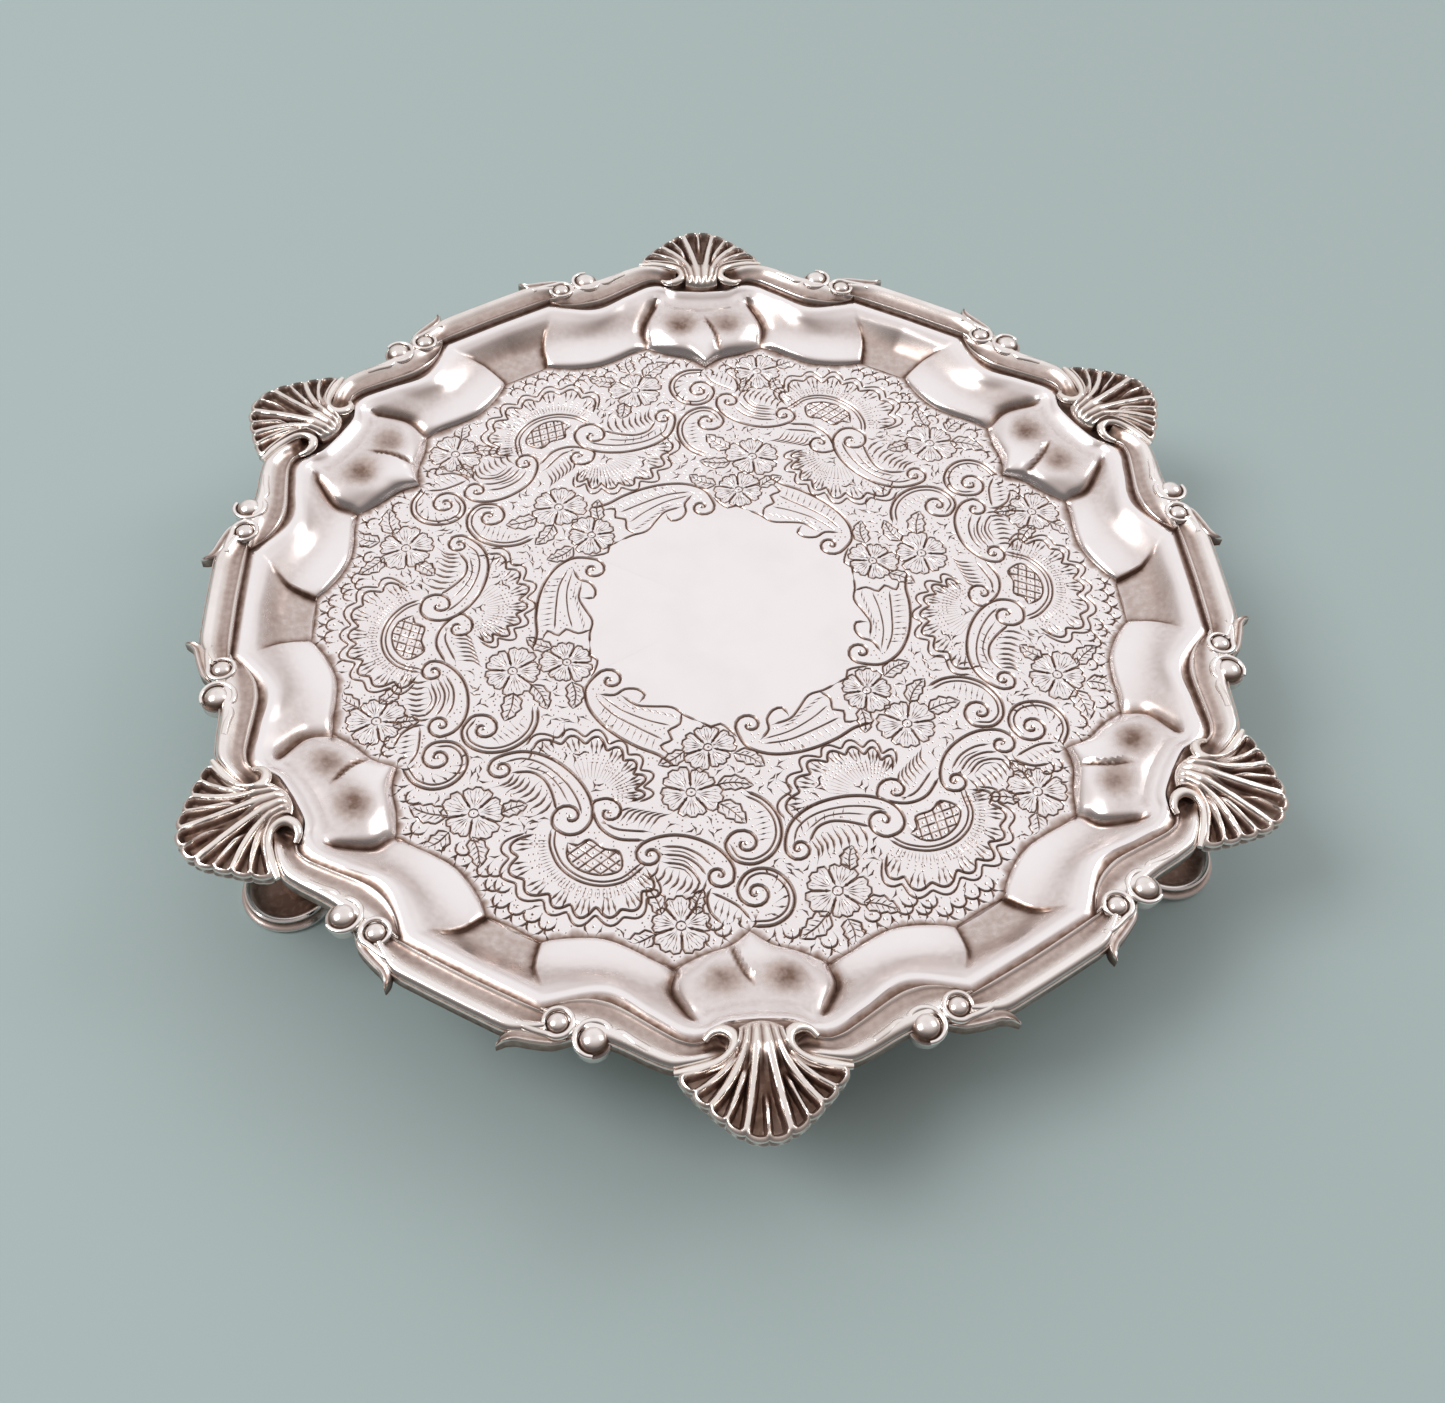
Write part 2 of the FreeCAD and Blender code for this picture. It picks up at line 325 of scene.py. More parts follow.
# Colours of the oxide and of painted shade, from a thin film to the bottom of a groove and the deepest
# painted shade
OXIDE_AND_SHADE = [(0.35, (0.56, 0.467, 0.428)), (0.75, (0.24, 0.160, 0.127)), (1.0, (0.140, 0.084, 0.062))]
HAZE = (0.56, 0.46, 0.40, 1)


def silver(name, tone, roughness, tarnish, grain):
    """Polished silver: dark oxide and painted shade where the point's value of patina and painted shade is
    high, cloudy polish and fine scratches.
    """
    material = bpy.data.materials.new(name)
    material.use_nodes = True
    tree = material.node_tree

    def noise(place, scale, detail):
        inputs = {"Vector": place, "Scale": scale, "Detail": detail}
        return add_node(tree, "ShaderNodeTexNoise", inputs).outputs["Fac"]

    def compute(operation, *values, clamp=False):
        settings = {"operation": operation, "use_clamp": clamp}
        return add_node(tree, "ShaderNodeMath", enumerate(values), **settings).outputs[0]

    def remap(value, low, high, new_low, new_high):
        return add_node(tree, "ShaderNodeMapRange", {"Value": value, "From Min": low, "From Max": high,
                                                     "To Min": new_low, "To Max": new_high}).outputs["Result"]

    place = add_node(tree, "ShaderNodeTexCoord").outputs["Object"]
    patina_and_shade = add_node(tree, "ShaderNodeAttribute", attribute_name="patina_and_shade").outputs["Fac"]
    cloud = noise(place, 90.0, 6.0)
    speckle = noise(place, 900.0, 3.0)
    # How dark each point is painted: patina and painted shade, broken up by speckle
    darkness = compute("MULTIPLY", patina_and_shade, compute("MULTIPLY_ADD", speckle, 0.9, 0.55), clamp=True)
    oxide_and_shade = add_node(tree, "ShaderNodeValToRGB", {"Fac": darkness})
    set_ramp(oxide_and_shade, [(0.0, tone)] + OXIDE_AND_SHADE)
    colour = add_node(tree, "ShaderNodeMix", {"Factor": remap(cloud, 0.45, 0.8, 0.0, tarnish),
                                              "A": oxide_and_shade.outputs["Color"], "B": HAZE}, data_type="RGBA")
    gloss = remap(cloud, 0.3, 0.8, roughness, roughness + 0.10)
    brushed = add_node(tree, "ShaderNodeMapping", {"Vector": place, "Scale": (1.0, 0.06, 1.0),
                                                   "Rotation": (0, 0, 0.5)}).outputs["Vector"]
    texture = compute("ADD", noise(brushed, 2600.0, 2.0), speckle)
    bump = add_node(tree, "ShaderNodeBump", {"Strength": grain, "Distance": 0.00004, "Height": texture})
    set_inputs(tree, tree.nodes["Principled BSDF"], {
        "Metallic": 1.0, "Base Color": colour.outputs["Result"],
        "Roughness": compute("MULTIPLY_ADD", darkness, 0.35, gloss), "Normal": bump.outputs["Normal"]})
    return material


# ---- Tray

def ring_points(ring):
    """One sector of a ring of the sheet, starting on a shell's axis: points (x, y, z) by column."""
    parts = []
    for keys, count in zip(ring, COLUMNS):
        places = [(*polar(angle, radius), FIELD_Z + z) for angle, radius, z in keys]
        parts.append(resampled(spline(places, 0.2), count + 1))
    half = np.vstack([parts[0][:-1], parts[1][:-1], parts[2]])
    other = rotated(mirrored(half[:-1][::-1]), SECTOR_ANGLE)
    return np.vstack([half, other])[:-1]


# The parts that a column of the sheet can cross
BOSS, PANEL, TROUGH = range(3)


def column_kinds():
    """For each column of a sector: which part it crosses and how far along that part it is, 0 to 1."""
    boss, panel, trough = COLUMNS
    kinds = [(BOSS, i / boss) for i in range(boss)] + [(PANEL, i / panel) for i in range(panel)]
    kinds += [(TROUGH, i / trough) for i in range(trough + 1)]
    return kinds + kinds[1:-1][::-1]


def section(rings):
    """The sheet's top between the rings: a smooth curve through each column of ring points."""
    stack = np.stack(rings)
    rows = []
    padded = np.concatenate([2 * stack[:1] - stack[1:2], stack, 2 * stack[-1:] - stack[-2:-1]])
    for index, count in enumerate(ROWS):
        rows += [between(*padded[index:index + 4], t) for t in np.linspace(0, 1, count, endpoint=False)]
    rows.append(stack[-1])
    return np.stack(rows)


# Boss: thumb marks at (+-x, y) from the shell's axis, their radii and depth, and how dark each side is
# painted: patina with painted shade in the hollows, one mark darker than the other
THUMB_PLACE = (4.8, 74.6)
THUMB_RADII = (2.9, 2.7)
THUMB_DEPTH = 0.8
THUMB_SHADES = ((-1, 0.50), (1, 0.66))
CREASE_DEPTH = 1.15


def bump_at(distance, width, power=2):
    """1 at a line, falling to nothing at about twice the width from it."""
    return np.exp(-(distance / width) ** power)


def press_boss(x, y):
    """Depth, and patina with painted shade, of the thumb marks, the fold between them and the crease behind
    the boss.
    """
    depth, patina_and_shade = 0.0, 0.0
    for side, shade in THUMB_SHADES:
        away = np.hypot((x - side * THUMB_PLACE[0]) / THUMB_RADII[0], (y - THUMB_PLACE[1]) / THUMB_RADII[1])
        depth = depth + THUMB_DEPTH * np.exp(-away ** 2 * 1.2)
        patina_and_shade = patina_and_shade + shade * np.exp(-away ** 2 * 1.1)
    fold = x - (-2.9 + 0.36 * (y - 69) - 0.5 * np.sin((np.clip(y, 69, 76) - 69) / 7 * math.pi))
    reach = smoothstep(68.0, 70.0, y) * (1 - smoothstep(74.6, 76.8, y))
    depth = depth + reach * (0.55 * bump_at(fold, 0.5) - 0.20 * bump_at(fold - 1.1, 0.9))
    # Painted shade along one side of the fold
    patina_and_shade = patina_and_shade + 0.95 * reach * bump_at(fold + 0.15, 0.36)
    back = y - 79.2 - 0.02 * x ** 2
    depth = depth + 0.22 * bump_at(back, 0.7) * (np.abs(x) < 9)
    return depth, patina_and_shade + 0.12 * bump_at(back - 0.4, 0.7) * (np.abs(x) < 8)


def press_details(top):
    """Sinks the boss's thumb marks and fold, the creases beside it and the panels' stepped ends, and paints
    them dark with patina and painted shade.
    """
    kinds = column_kinds()
    rows, columns = top.shape[:2]
    patina_and_shade = np.zeros((rows, columns))
    row = np.arange(rows)
    span = np.cumsum((0,) + ROWS)
    rise = np.interp(row, [0, span[1], span[2], span[3] - 2, span[3]], [0.3, 0.6, 1.0, 0.85, 0.0])
    step = np.interp(row, [0, 3, span[1], span[2], span[3] - 1], [0.0, 0.7, 1.0, 0.8, 0.0])
    boss_end, panel_end = COLUMNS[0], COLUMNS[0] + COLUMNS[1]
    out = top.copy()
    for column, (kind, along) in enumerate(kinds):
        far_half = column > sum(COLUMNS)
        plan = top[:, column, :2]
        crease, ledge = (columns - end if far_half else end for end in (boss_end, panel_end))
        to_crease = np.linalg.norm(plan - top[:, crease, :2], axis=1)
        to_ledge = np.linalg.norm(plan - top[:, ledge, :2], axis=1)
        depth = CREASE_DEPTH * rise * bump_at(to_crease, 0.75 if kind == BOSS else 1.5, 1.8)
        # Dark line down the crease: patina with painted shade
        darkness = 0.95 * bump_at(to_crease, 0.45 if kind == BOSS else 0.85, 3) * rise
        if kind == PANEL:
            # Panels painted browner towards the crease and the ledge: patina with painted shade
            darkness += (0.20 * np.exp(-to_crease / 3.5) + 0.10 * np.exp(-to_ledge / 2.5)) * rise
        if kind == TROUGH:
            depth += (0.85 - 0.25 * along) * step * smoothstep(0.0, 0.35, to_ledge)
            # Trough painted dark, darkest in the crescent at its stepped end: patina with painted shade
            darkness += (0.85 * bump_at(to_ledge, 0.9) + 0.34) * step
        if kind == BOSS or (kind == PANEL and along < 0.1):
            near = rotated(plan, -SECTOR_ANGLE) if far_half else plan
            boss_depth, boss_darkness = press_boss(near[:, 0], -near[:, 1])
            depth += boss_depth
            darkness += boss_darkness
        out[:, column, 2] -= depth
        patina_and_shade[:, column] = darkness
    # Painted shadow along the foot of the moulding, painted shade in the crease at the field's edge and faint
    # painted shade across the cove
    foot, edge = bump_at(row - span[5], 1.5), bump_at(row, 0.9)
    hollow = bump_at(row - span[2] - 3, 5.0)
    patina_and_shade += (0.95 * foot + 0.75 * edge + 0.16 * hollow)[:, None]
    return out, np.clip(patina_and_shade, 0, 1)


def field_radius(outline):
    """The field's edge as a function of the angle from a shell, from the outline of one sector."""
    angles = np.r_[bearing(outline) % 360, SECTOR_ANGLE]
    radii = np.hypot(outline[:, 0], outline[:, 1])
    radii = np.r_[radii, radii[0]]
    return lambda angle: np.interp(np.asarray(angle) % SECTOR_ANGLE, angles, radii)


# ---- Chased ornament

LINE_WIDTH = 0.46
LINE_WEIGHT = 1.2
LINE_DEPTH = 0.22
LINE_TAPER = 0.8
LINE_STEP = 0.8
EDGE_CLEARANCE = 0.35
RESERVE_RADIUS = 27.5


class Chasing:
    """The chased lines and punched dots of one sector, in plan."""

    def __init__(self, edge):
        self.edge = edge
        self.lines = []
        self.dots = []

    def line(self, points, width=LINE_WIDTH, smooth=True, taper=True):
        width = width * LINE_WEIGHT
        points = spline(points, LINE_STEP) if smooth else np.array(points, float)
        if len(points) == 2:
            points = resampled(points, 3)
        limit = self.edge(bearing(points)) - EDGE_CLEARANCE - width / 2
        inside = np.hypot(points[:, 0], points[:, 1]) < limit
        runs = np.split(np.arange(len(points)), np.flatnonzero(np.diff(inside.astype(int))) + 1)
        for run in runs:
            if inside[run[0]] and len(run) > 1:
                self.lines.append((points[run], width, taper))

    def tick(self, root, *offsets, width=0.26, smooth=True):
        """A stroke from a root through points given by their offsets from it."""
        root = np.asarray(root, float)
        self.line([root] + [root + offset for offset in offsets], width, smooth)

    def spoke(self, centre, inner, outer, start, end=None, width=0.26):
        """A straight stroke from one radius and heading about a centre to another."""
        end = start if end is None else end
        self.line([on_circle(centre, inner, start), on_circle(centre, outer, end)], width, smooth=False)

    def dot(self, x, y, size=0.3):
        if math.hypot(x, y) < self.edge(bearing((x, y))) - EDGE_CLEARANCE - size:
            self.dots.append((x, y, size))

    def parallel(self, points, gap, width=LINE_WIDTH):
        """A line and a second one beside it, to its left."""
        curve = spline(points, LINE_STEP)
        self.line(curve, width, smooth=False)
        self.line(curve + gap * normals_of(curve), width * 0.8, smooth=False)


def volute(centre, rim, turns, inner=0.45):
    """Points winding inwards from a rim point; positive turns run anticlockwise."""
    centre, rim = np.array(centre, float), np.array(rim, float)
    radius = float(np.linalg.norm(rim - centre))
    start = math.degrees(math.atan2(rim[1] - centre[1], rim[0] - centre[0]))
    count = max(6, round(abs(turns) * 14))
    share = np.arange(1, count + 1) / count
    sizes = radius + (inner - radius) * share ** 0.85
    return [on_circle(centre, size, start + 360 * turns * part) for size, part in zip(sizes, share)]


def on_circle(centre, radius, degrees):
    turn = math.radians(degrees)
    return (centre[0] + radius * math.cos(turn), centre[1] + radius * math.sin(turn))


def chase_scroll(work, path, start=None, end=None, gap=0.0, width=0.55):
    """A scroll line with a volute at either end: each is (centre, turns)."""
    points = list(path)
    if end:
        points += volute(end[0], path[-1], end[1])
        work.dot(*end[0], 0.42)
    if start:
        points = volute(start[0], path[0], start[1])[::-1] + points
        work.dot(*start[0], 0.42)
    work.line(points, width)
    if gap:
        curve = spline(path, LINE_STEP)
        work.line(curve + gap * normals_of(curve), LINE_WIDTH * 0.85, smooth=False)


# A petal's edge: (share of the half petal's angle, share of the blossom's radius)
PETAL = [(-0.88, 0.36), (-0.95, 0.58), (-0.97, 0.80), (-0.86, 0.96), (-0.52, 1.02), (-0.34, 0.92),
         (-0.12, 1.02), (0.16, 1.02), (0.33, 0.92), (0.56, 1.0), (0.85, 0.94), (0.97, 0.78), (0.95, 0.56),
         (0.88, 0.36)]


def chase_flower(work, centre, radius, turn, petals=5):
    """A blossom with crinkled petals, veins and a ring of stamens."""
    half = 180 / petals
    for index in range(petals):
        heading = turn + 2 * half * index
        grown = radius * (1 + 0.07 * math.sin(2.4 * index + turn))
        work.line([on_circle(centre, grown * size, heading + half * share) for share, size in PETAL], 0.36)
        work.spoke(centre, 0.50 * radius, 0.22 * radius, heading + half, width=0.56)
        for share in (-0.52, -0.18, 0.16, 0.5):
            work.spoke(centre, 0.34 * radius, 0.66 * radius, heading + half * share * 0.6,
                       heading + half * share, 0.24)
        for share in (-0.6, -0.4, -0.06, 0.12, 0.46, 0.64):
            work.spoke(centre, 0.76 * radius, 0.87 * radius, heading + half * share, width=0.24)
    work.line([on_circle(centre, 0.17 * radius, 45 * k) for k in range(9)], 0.28)
    work.dot(*centre, 0.24)


def chase_leaf(work, base, tip, width, bend, hatch):
    """A pointed leaf with a lobed edge, a midrib and hatched flanks."""
    base, tip = np.array(base, float), np.array(tip, float)
    along = tip - base
    across = np.array([-along[1], along[0]]) / np.linalg.norm(along)

    def spot(share, side):
        return base + along * share + across * (1.3 * side * width + bend * math.sin(math.pi * share))

    for side in (-1, 1):
        work.line([spot(0.02, 0), spot(0.22, 0.44 * side), spot(0.40, 0.40 * side), spot(0.50, 0.50 * side),
                   spot(0.68, 0.30 * side), spot(0.76, 0.34 * side), spot(1.0, 0)], 0.38)
        for index in range(hatch):
            share = 0.18 + 0.62 * index / max(1, hatch - 1)
            reach = 0.30 * math.sin(math.pi * min(1, share + 0.1))
            work.line([spot(share, 0.04 * side), spot(share + 0.10, reach * side)], 0.26, smooth=False)
    work.line([spot(0.0, 0), spot(0.45, 0), spot(0.9, 0)], 0.30)


def chase_rays(work, centre, inner, outer, start, end, count, width):
    """Short strokes radiating from a centre."""
    for heading in np.linspace(start, end, count):
        work.spoke(centre, inner, outer, heading, width=width)


def chase_lattice(work):
    """The trellis panel inside the C-scroll, with a punched dot in every mesh."""
    corners = [(-28.3, -48.2), (-26.6, -48.7), (-24.8, -47.7), (-22.4, -49.6), (-20, -50.2), (-19.8, -53.5),
               (-23, -54.4), (-26.4, -53.3), (-28.3, -51), (-28.3, -48.2)]
    work.line(corners, 0.40)
    polygon = [Vector(point) for point in corners]
    pitch, middle = 1.55, np.array([-24.2, -51.2])
    for slant in (38, -40):
        heading = np.array([math.cos(math.radians(slant)), math.sin(math.radians(slant))])
        across = np.array([-heading[1], heading[0]])
        for index in range(-4, 5):
            run = [middle + across * pitch * index + heading * s for s in np.arange(-7, 7, 0.25)]
            inside = [point for point in run if in_polygon(point, polygon)]
            if len(inside) > 3:
                work.line([inside[0], inside[-1]], 0.34, smooth=False, taper=False)
    for row in range(-4, 5):
        for column in range(-4, 5):
            spot = middle + (row + 0.5) * lattice_step(38, pitch) + (column + 0.5) * lattice_step(-40, pitch)
            if in_polygon(spot, polygon):
                work.dot(*spot, 0.26)


def lattice_step(slant, pitch):
    """From one mesh of the trellis to the next along its bars at this slant."""
    return np.array(on_circle((0, 0), pitch / math.sin(math.radians(78)), slant))


def in_polygon(point, polygon):
    """True if a plan point lies inside a polygon."""
    inside = False
    for index in range(len(polygon)):
        a, b = polygon[index - 1], polygon[index]
        if (a.y > point[1]) != (b.y > point[1]):
            if point[0] < a.x + (point[1] - a.y) / (b.y - a.y) * (b.x - a.x):
                inside = not inside
    return inside


def chase_ruffle(work, centre, envelope, lobes, gap=1.45):
    """A double wavy line round a centre, with flutes and rows of punched dots in every lobe.

    The envelope gives the line's mean radius at some headings.
    """
    headings, reaches = zip(*envelope)
    start, lobe_angle = headings[0], (headings[-1] - headings[0]) / lobes
    steps = 12
    for outset, width in ((0.0, 0.50), (gap, 0.42)):
        path = []
        for step in range(lobes * steps + 1):
            heading = start + lobe_angle * step / steps
            turn = 2 * math.pi * step / steps
            swell = 0.82 + 0.14 * math.sin(0.27 * turn)
            reach = float(np.interp(heading, headings, reaches)) + outset - swell * math.cos(turn)
            path.append(on_circle(centre, reach, heading - 0.05 * lobe_angle * math.sin(turn)))
        work.line(path, width, smooth=False)
    spread = 0.5 * lobe_angle
    for lobe in range(lobes):
        heading = start + lobe_angle * (lobe + 0.5)
        reach = float(np.interp(heading, headings, reaches)) + 0.4
        for offset in (-0.5, 0.0, 0.5):
            work.spoke(centre, reach - 2.3, reach - 0.4, heading + 0.8 * spread * offset,
                       heading + spread * offset, 0.46)
        for offset in (-0.95, -0.3, 0.3):
            for step in range(3):
                work.dot(*on_circle(centre, reach - 4.7 + 0.75 * step, heading + spread * offset), 0.2)


def chase_cartouche(work):
    """The trellis panel, its C-scroll and the shell-like ruffle around it."""
    chase_lattice(work)
    c_line = [(-31, -45.8), (-31.2, -48), (-30.8, -50), (-29.8, -52.3), (-28, -54.3), (-25.5, -55.8),
              (-22.5, -56.4), (-19.5, -55.8), (-17.5, -54.3), (-16, -53)]
    work.parallel(c_line, 0.75)
    centre = (-22.8, -48.3)
    chase_rays(work, centre, 8.9, 10.2, 176, 318, 40, 0.15)
    chase_ruffle(work, centre, [(170, 12.0), (185, 14.6), (210, 14.8), (230, 13.0), (250, 13.3),
                                (270, 12.8), (285, 13.6), (300, 12.4), (322, 10.2)], 8)


def chase_inner_ruffle(work):
    """The second ruffle, opening towards the middle from behind the big leaf."""
    centre = (-24.5, -40)
    chase_rays(work, centre, 4.6, 7.4, 4, 112, 19, 0.16)
    chase_ruffle(work, centre, [(-6, 7.4), (20, 9.0), (50, 10.0), (70, 10.8), (92, 12.2), (108, 12.6),
                                (134, 15.0)], 7)


def chase_big_leaf(work):
    """The C-leaf with a volute at both ends that shelters the cartouche."""
    outer = [(-41.5, -33.5), (-41, -31.8), (-39, -30.6), (-36, -30), (-33, -30.6), (-30, -32.3), (-27, -35.3),
             (-25, -38.7), (-24.2, -42), (-24.7, -44.6), (-26.4, -46.4), (-28.6, -46.6), (-30.5, -45.2)]
    chase_scroll(work, outer, start=((-39.3, -33.3), 1.1), end=((-28, -43.2), -1.0), width=0.6)
    work.line([(-38.6, -32.0), (-36, -31.4), (-33.2, -32.2), (-30.6, -34.1), (-28.2, -37.0), (-26.6, -40.2),
               (-26.0, -42.6)], 0.36)
    work.line([(-37.4, -34.2), (-34.4, -34.2), (-32.3, -35.6), (-31.2, -37.6), (-30.6, -39.6),
               (-30.2, -41.6)], 0.5)
    work.line([(-35.2, -33.1), (-32.0, -34.4), (-29.8, -37.0), (-28.4, -40.0)], 0.28)
    for share in np.arange(6) / 5:
        work.tick((-36.2 + 6.2 * share, -32.4 - 4.4 * share ** 1.3), (1.0, 0.8 - 0.5 * share), smooth=False)
    for share in np.arange(8) / 7:
        work.tick((-37.2 + 6.3 * share, -34.6 - 5.6 * share ** 1.6), (-0.9, -1.5), (-2.4, -2.2 - 0.3 * share),
                  width=0.45)
    small = [(-24.2, -40.8), (-23.9, -43.5), (-22.6, -46), (-20, -47.8), (-16, -48.2)]
    chase_scroll(work, small[::-1], end=((-21.6, -42.6), -1.1), width=0.55)
    work.line([(-22.0, -44.9), (-20.0, -46.0), (-15.2, -46.6)], 0.4)
    for index in range(7):
        work.tick((-20.6 + 1.0 * index, -44.0 - 0.25 * index), (1.3, 1.7), (2.9, 2.1), width=0.36)


def chase_ribbon(work):
    """The fluted ribbon scroll between two volutes."""
    arch = [(-17.3, -50.4), (-16.3, -48.9), (-14, -47.8), (-11, -47.4), (-8, -48), (-5, -49.5), (-2.9, -51.5),
            (-1.7, -54), (-2.0, -56.4)]
    chase_scroll(work, arch, start=((-15, -51), 1.15), end=((-4.2, -55.2), -1.1), width=0.6)
    for index in range(3):
        work.line([(-13.0 + 0.1 * index, -49.5 - 1.5 * index), (-9.8, -49.8 - 1.65 * index),
                   (-7.0 - 0.5 * index, -51.3 - 1.75 * index), (-5.4 - 0.9 * index, -53.2 - 1.75 * index)],
                  0.42)
        work.line([(-12.2, -50.3 - 1.5 * index), (-9.6, -50.7 - 1.65 * index),
                   (-7.5 - 0.5 * index, -52.2 - 1.7 * index)], 0.24)
    for share in np.arange(8) / 7:
        work.tick((-13.8 + 7.5 * share, -53.0 - 3.2 * math.sin(share * 1.6)), (-0.4, -1.3), (-1.5, -2.3),
                  width=0.42)


def chase_cusp_scroll(work):
    """The comma scroll under each boss's cusp and the S-scroll that rises from it."""
    chase_scroll(work, [(-4.2, -63.9), (-5.9, -61.8), (-6.3, -59.2), (-5.6, -57.6)], width=0.5)
    comma = [(0.6, -64.6), (4, -64.4), (6.6, -62.6), (7.6, -59.8), (6.9, -56.9), (4.8, -54.7), (2.2, -54.2),
             (0.0, -55.2), (-1.3, -57.4)]
    chase_scroll(work, comma, end=((1.6, -58.6), 1.35), gap=0.9, width=0.6)
    for heading in range(300, 421, 24):
        work.spoke((1.6, -58.9), 4.1, 5.0, heading, heading + 8, 0.45)
    work.line([(-5.4, -58.4), (-3.4, -59.5), (-1.2, -61.1), (0.3, -63.3)], 0.45)
    for index in range(5):
        work.tick((-4.9 + 0.95 * index, -60.4 - 0.62 * index), (-0.35, -1.3), width=0.40, smooth=False)
    tall = [(1.4, -39.4), (3.9, -40.9), (5.7, -43.2), (6.5, -46.0), (6.2, -49.0), (4.5, -51.8), (1.6, -53.3),
            (-1.3, -52.6), (-2.8, -50)]
    chase_scroll(work, tall, end=((0.4, -49.4), -1.2), gap=-0.9, width=0.6)
    for index in range(6):
        work.tick((3.7 + 0.45 * math.sin(index * 0.6), -43.4 - 1.05 * index), (-0.95, -0.25), width=0.34,
                  smooth=False)
    for index in range(4):
        work.tick((7.3 + 0.3 * index, -37.6 - 2.3 * index), (1.0, -0.5), (1.8, -1.6), width=0.38)


# Sprays: a blossom (centre, radius, turn) and its leaves (base, tip, width, bend, strokes a side)
SPRAYS = [
    (((-10.6, -64.0), 4.9, 90), [
        ((-14.6, -65.2), (-20.2, -67.3), 2.6, 0.4, 5), ((-13.6, -62.0), (-15.8, -56.9), 2.2, -0.5, 4),
        ((-8.2, -62.2), (-6.8, -57.6), 2.0, 0.4, 4)]),
    (((-43.6, -42.0), 5.1, 10), [
        ((-47.6, -42.3), (-54.2, -40.2), 3.0, 0.5, 5), ((-43.6, -46.4), (-42.3, -52.3), 2.6, 0.4, 5),
        ((-39.2, -42.2), (-34.8, -40.6), 2.4, 0.3, 4)]),
    (((-4.6, -30.2), 4.5, 20), []),
    (((-7.9, -39.2), 5.0, 55), [
        ((-0.4, -31.6), (4.8, -34.4), 2.6, 0.6, 5), ((-3.6, -37.8), (2.6, -38.2), 2.4, 0.5, 5),
        ((-8.6, -30.8), (-13.2, -33.6), 2.2, 0.4, 4), ((-3.7, -41.3), (0.9, -45.6), 2.8, 0.4, 4),
        ((-47.4, -45.4), (-51.6, -48.6), 2.8, 0.5, 4)]),
]


def chase_sprays(work):
    """Blossoms and leaves between the scrolls."""
    for blossom, leaves in SPRAYS:
        chase_flower(work, *blossom)
        for leaf in leaves:
            chase_leaf(work, *leaf)


def chase_reserve_leaf(work):
    """The acanthus scroll that bounds the plain middle."""
    outer = [(-23.4, -14.2), (-24.9, -16.2), (-25.3, -18.4), (-24.6, -21.4), (-22.6, -24.6), (-19.8, -27.4),
             (-16.4, -29.8), (-13, -31.5), (-10.6, -33.6)]
    chase_scroll(work, outer, start=((-20.9, -15.3), -1.2), width=0.6)
    work.line([(-22.6, -18.4), (-20.2, -18.6), (-18.4, -17.4), (-16.2, -17.5), (-15.0, -18.7),
               (-15.8, -20.2)], 0.5)
    work.line([(-18.8, -19.0), (-16.4, -20.9), (-13.8, -21.3), (-10.4, -21.6), (-8.2, -23.4),
               (-6.2, -24.6)], 0.45)
    work.line([(-8.8, -23.0), (-9.2, -25.2), (-11.2, -26.6), (-10.6, -28.4), (-12.6, -29.6),
               (-11.4, -31.2)], 0.45)
    work.line([(-23.2, -19.4), (-20.6, -22.6), (-16.8, -25.4), (-12.4, -28.2)], 0.34)
    work.line([(-22.2, -19.0), (-18.8, -22.0), (-14.6, -24.2), (-11.0, -25.4)], 0.28)
    for share in np.arange(9) / 8:
        work.tick((-22.6 + 8.6 * share, -22.6 - 7.0 * share ** 0.8), (0.7 - 0.3 * share, 1.3), smooth=False)
    for share in np.arange(7) / 6:
        work.tick((-18.4 + 7.6 * share, -20.6 - 2.4 * share), (1.1, -0.9), smooth=False)
    work.line([(-5.6, -24.9), (-3.8, -25.9), (-2.2, -25.4), (-0.8, -26.6), (0.4, -28.2)], 0.45)


def chase_scales(work):
    """Fish scales in three rows along the field's edge, wherever the scrolls leave room."""
    tree = index_lines(work)
    arcs = []
    for row in range(3):
        depth = 1.9 + 1.55 * row
        for angle in np.arange(1.15 * (row % 2), SECTOR_ANGLE, 2.3):
            radius = float(work.edge(angle)) - depth
            x, y = polar(angle - SECTOR_ANGLE, radius)
            outer_x, outer_y = polar(angle - SECTOR_ANGLE, radius + 1.2)
            if min(tree.find((x, y, 0))[2], tree.find((outer_x, outer_y, 0))[2]) > 0.6:
                outward = math.degrees(math.atan2(y, x))
                arcs.append([on_circle((x, y), 1.35, outward - 100 + 25 * k) for k in range(9)])
                work.dot(x, y, 0.26)
    for arc in arcs:
        work.line(arc, 0.42)


def index_lines(work):
    """A search tree over points of every line of the sector and its neighbours."""
    points = np.vstack([resampled(line, max(2, round(len(line) * 2.5))) for line, _, _ in work.lines])
    every = np.vstack([rotated(points, turn) for turn in (-SECTOR_ANGLE, 0, SECTOR_ANGLE)])
    tree = kdtree.KDTree(len(every))
    for index, (x, y) in enumerate(every):
        tree.insert((x, y, 0), index)
    tree.balance()
    return tree


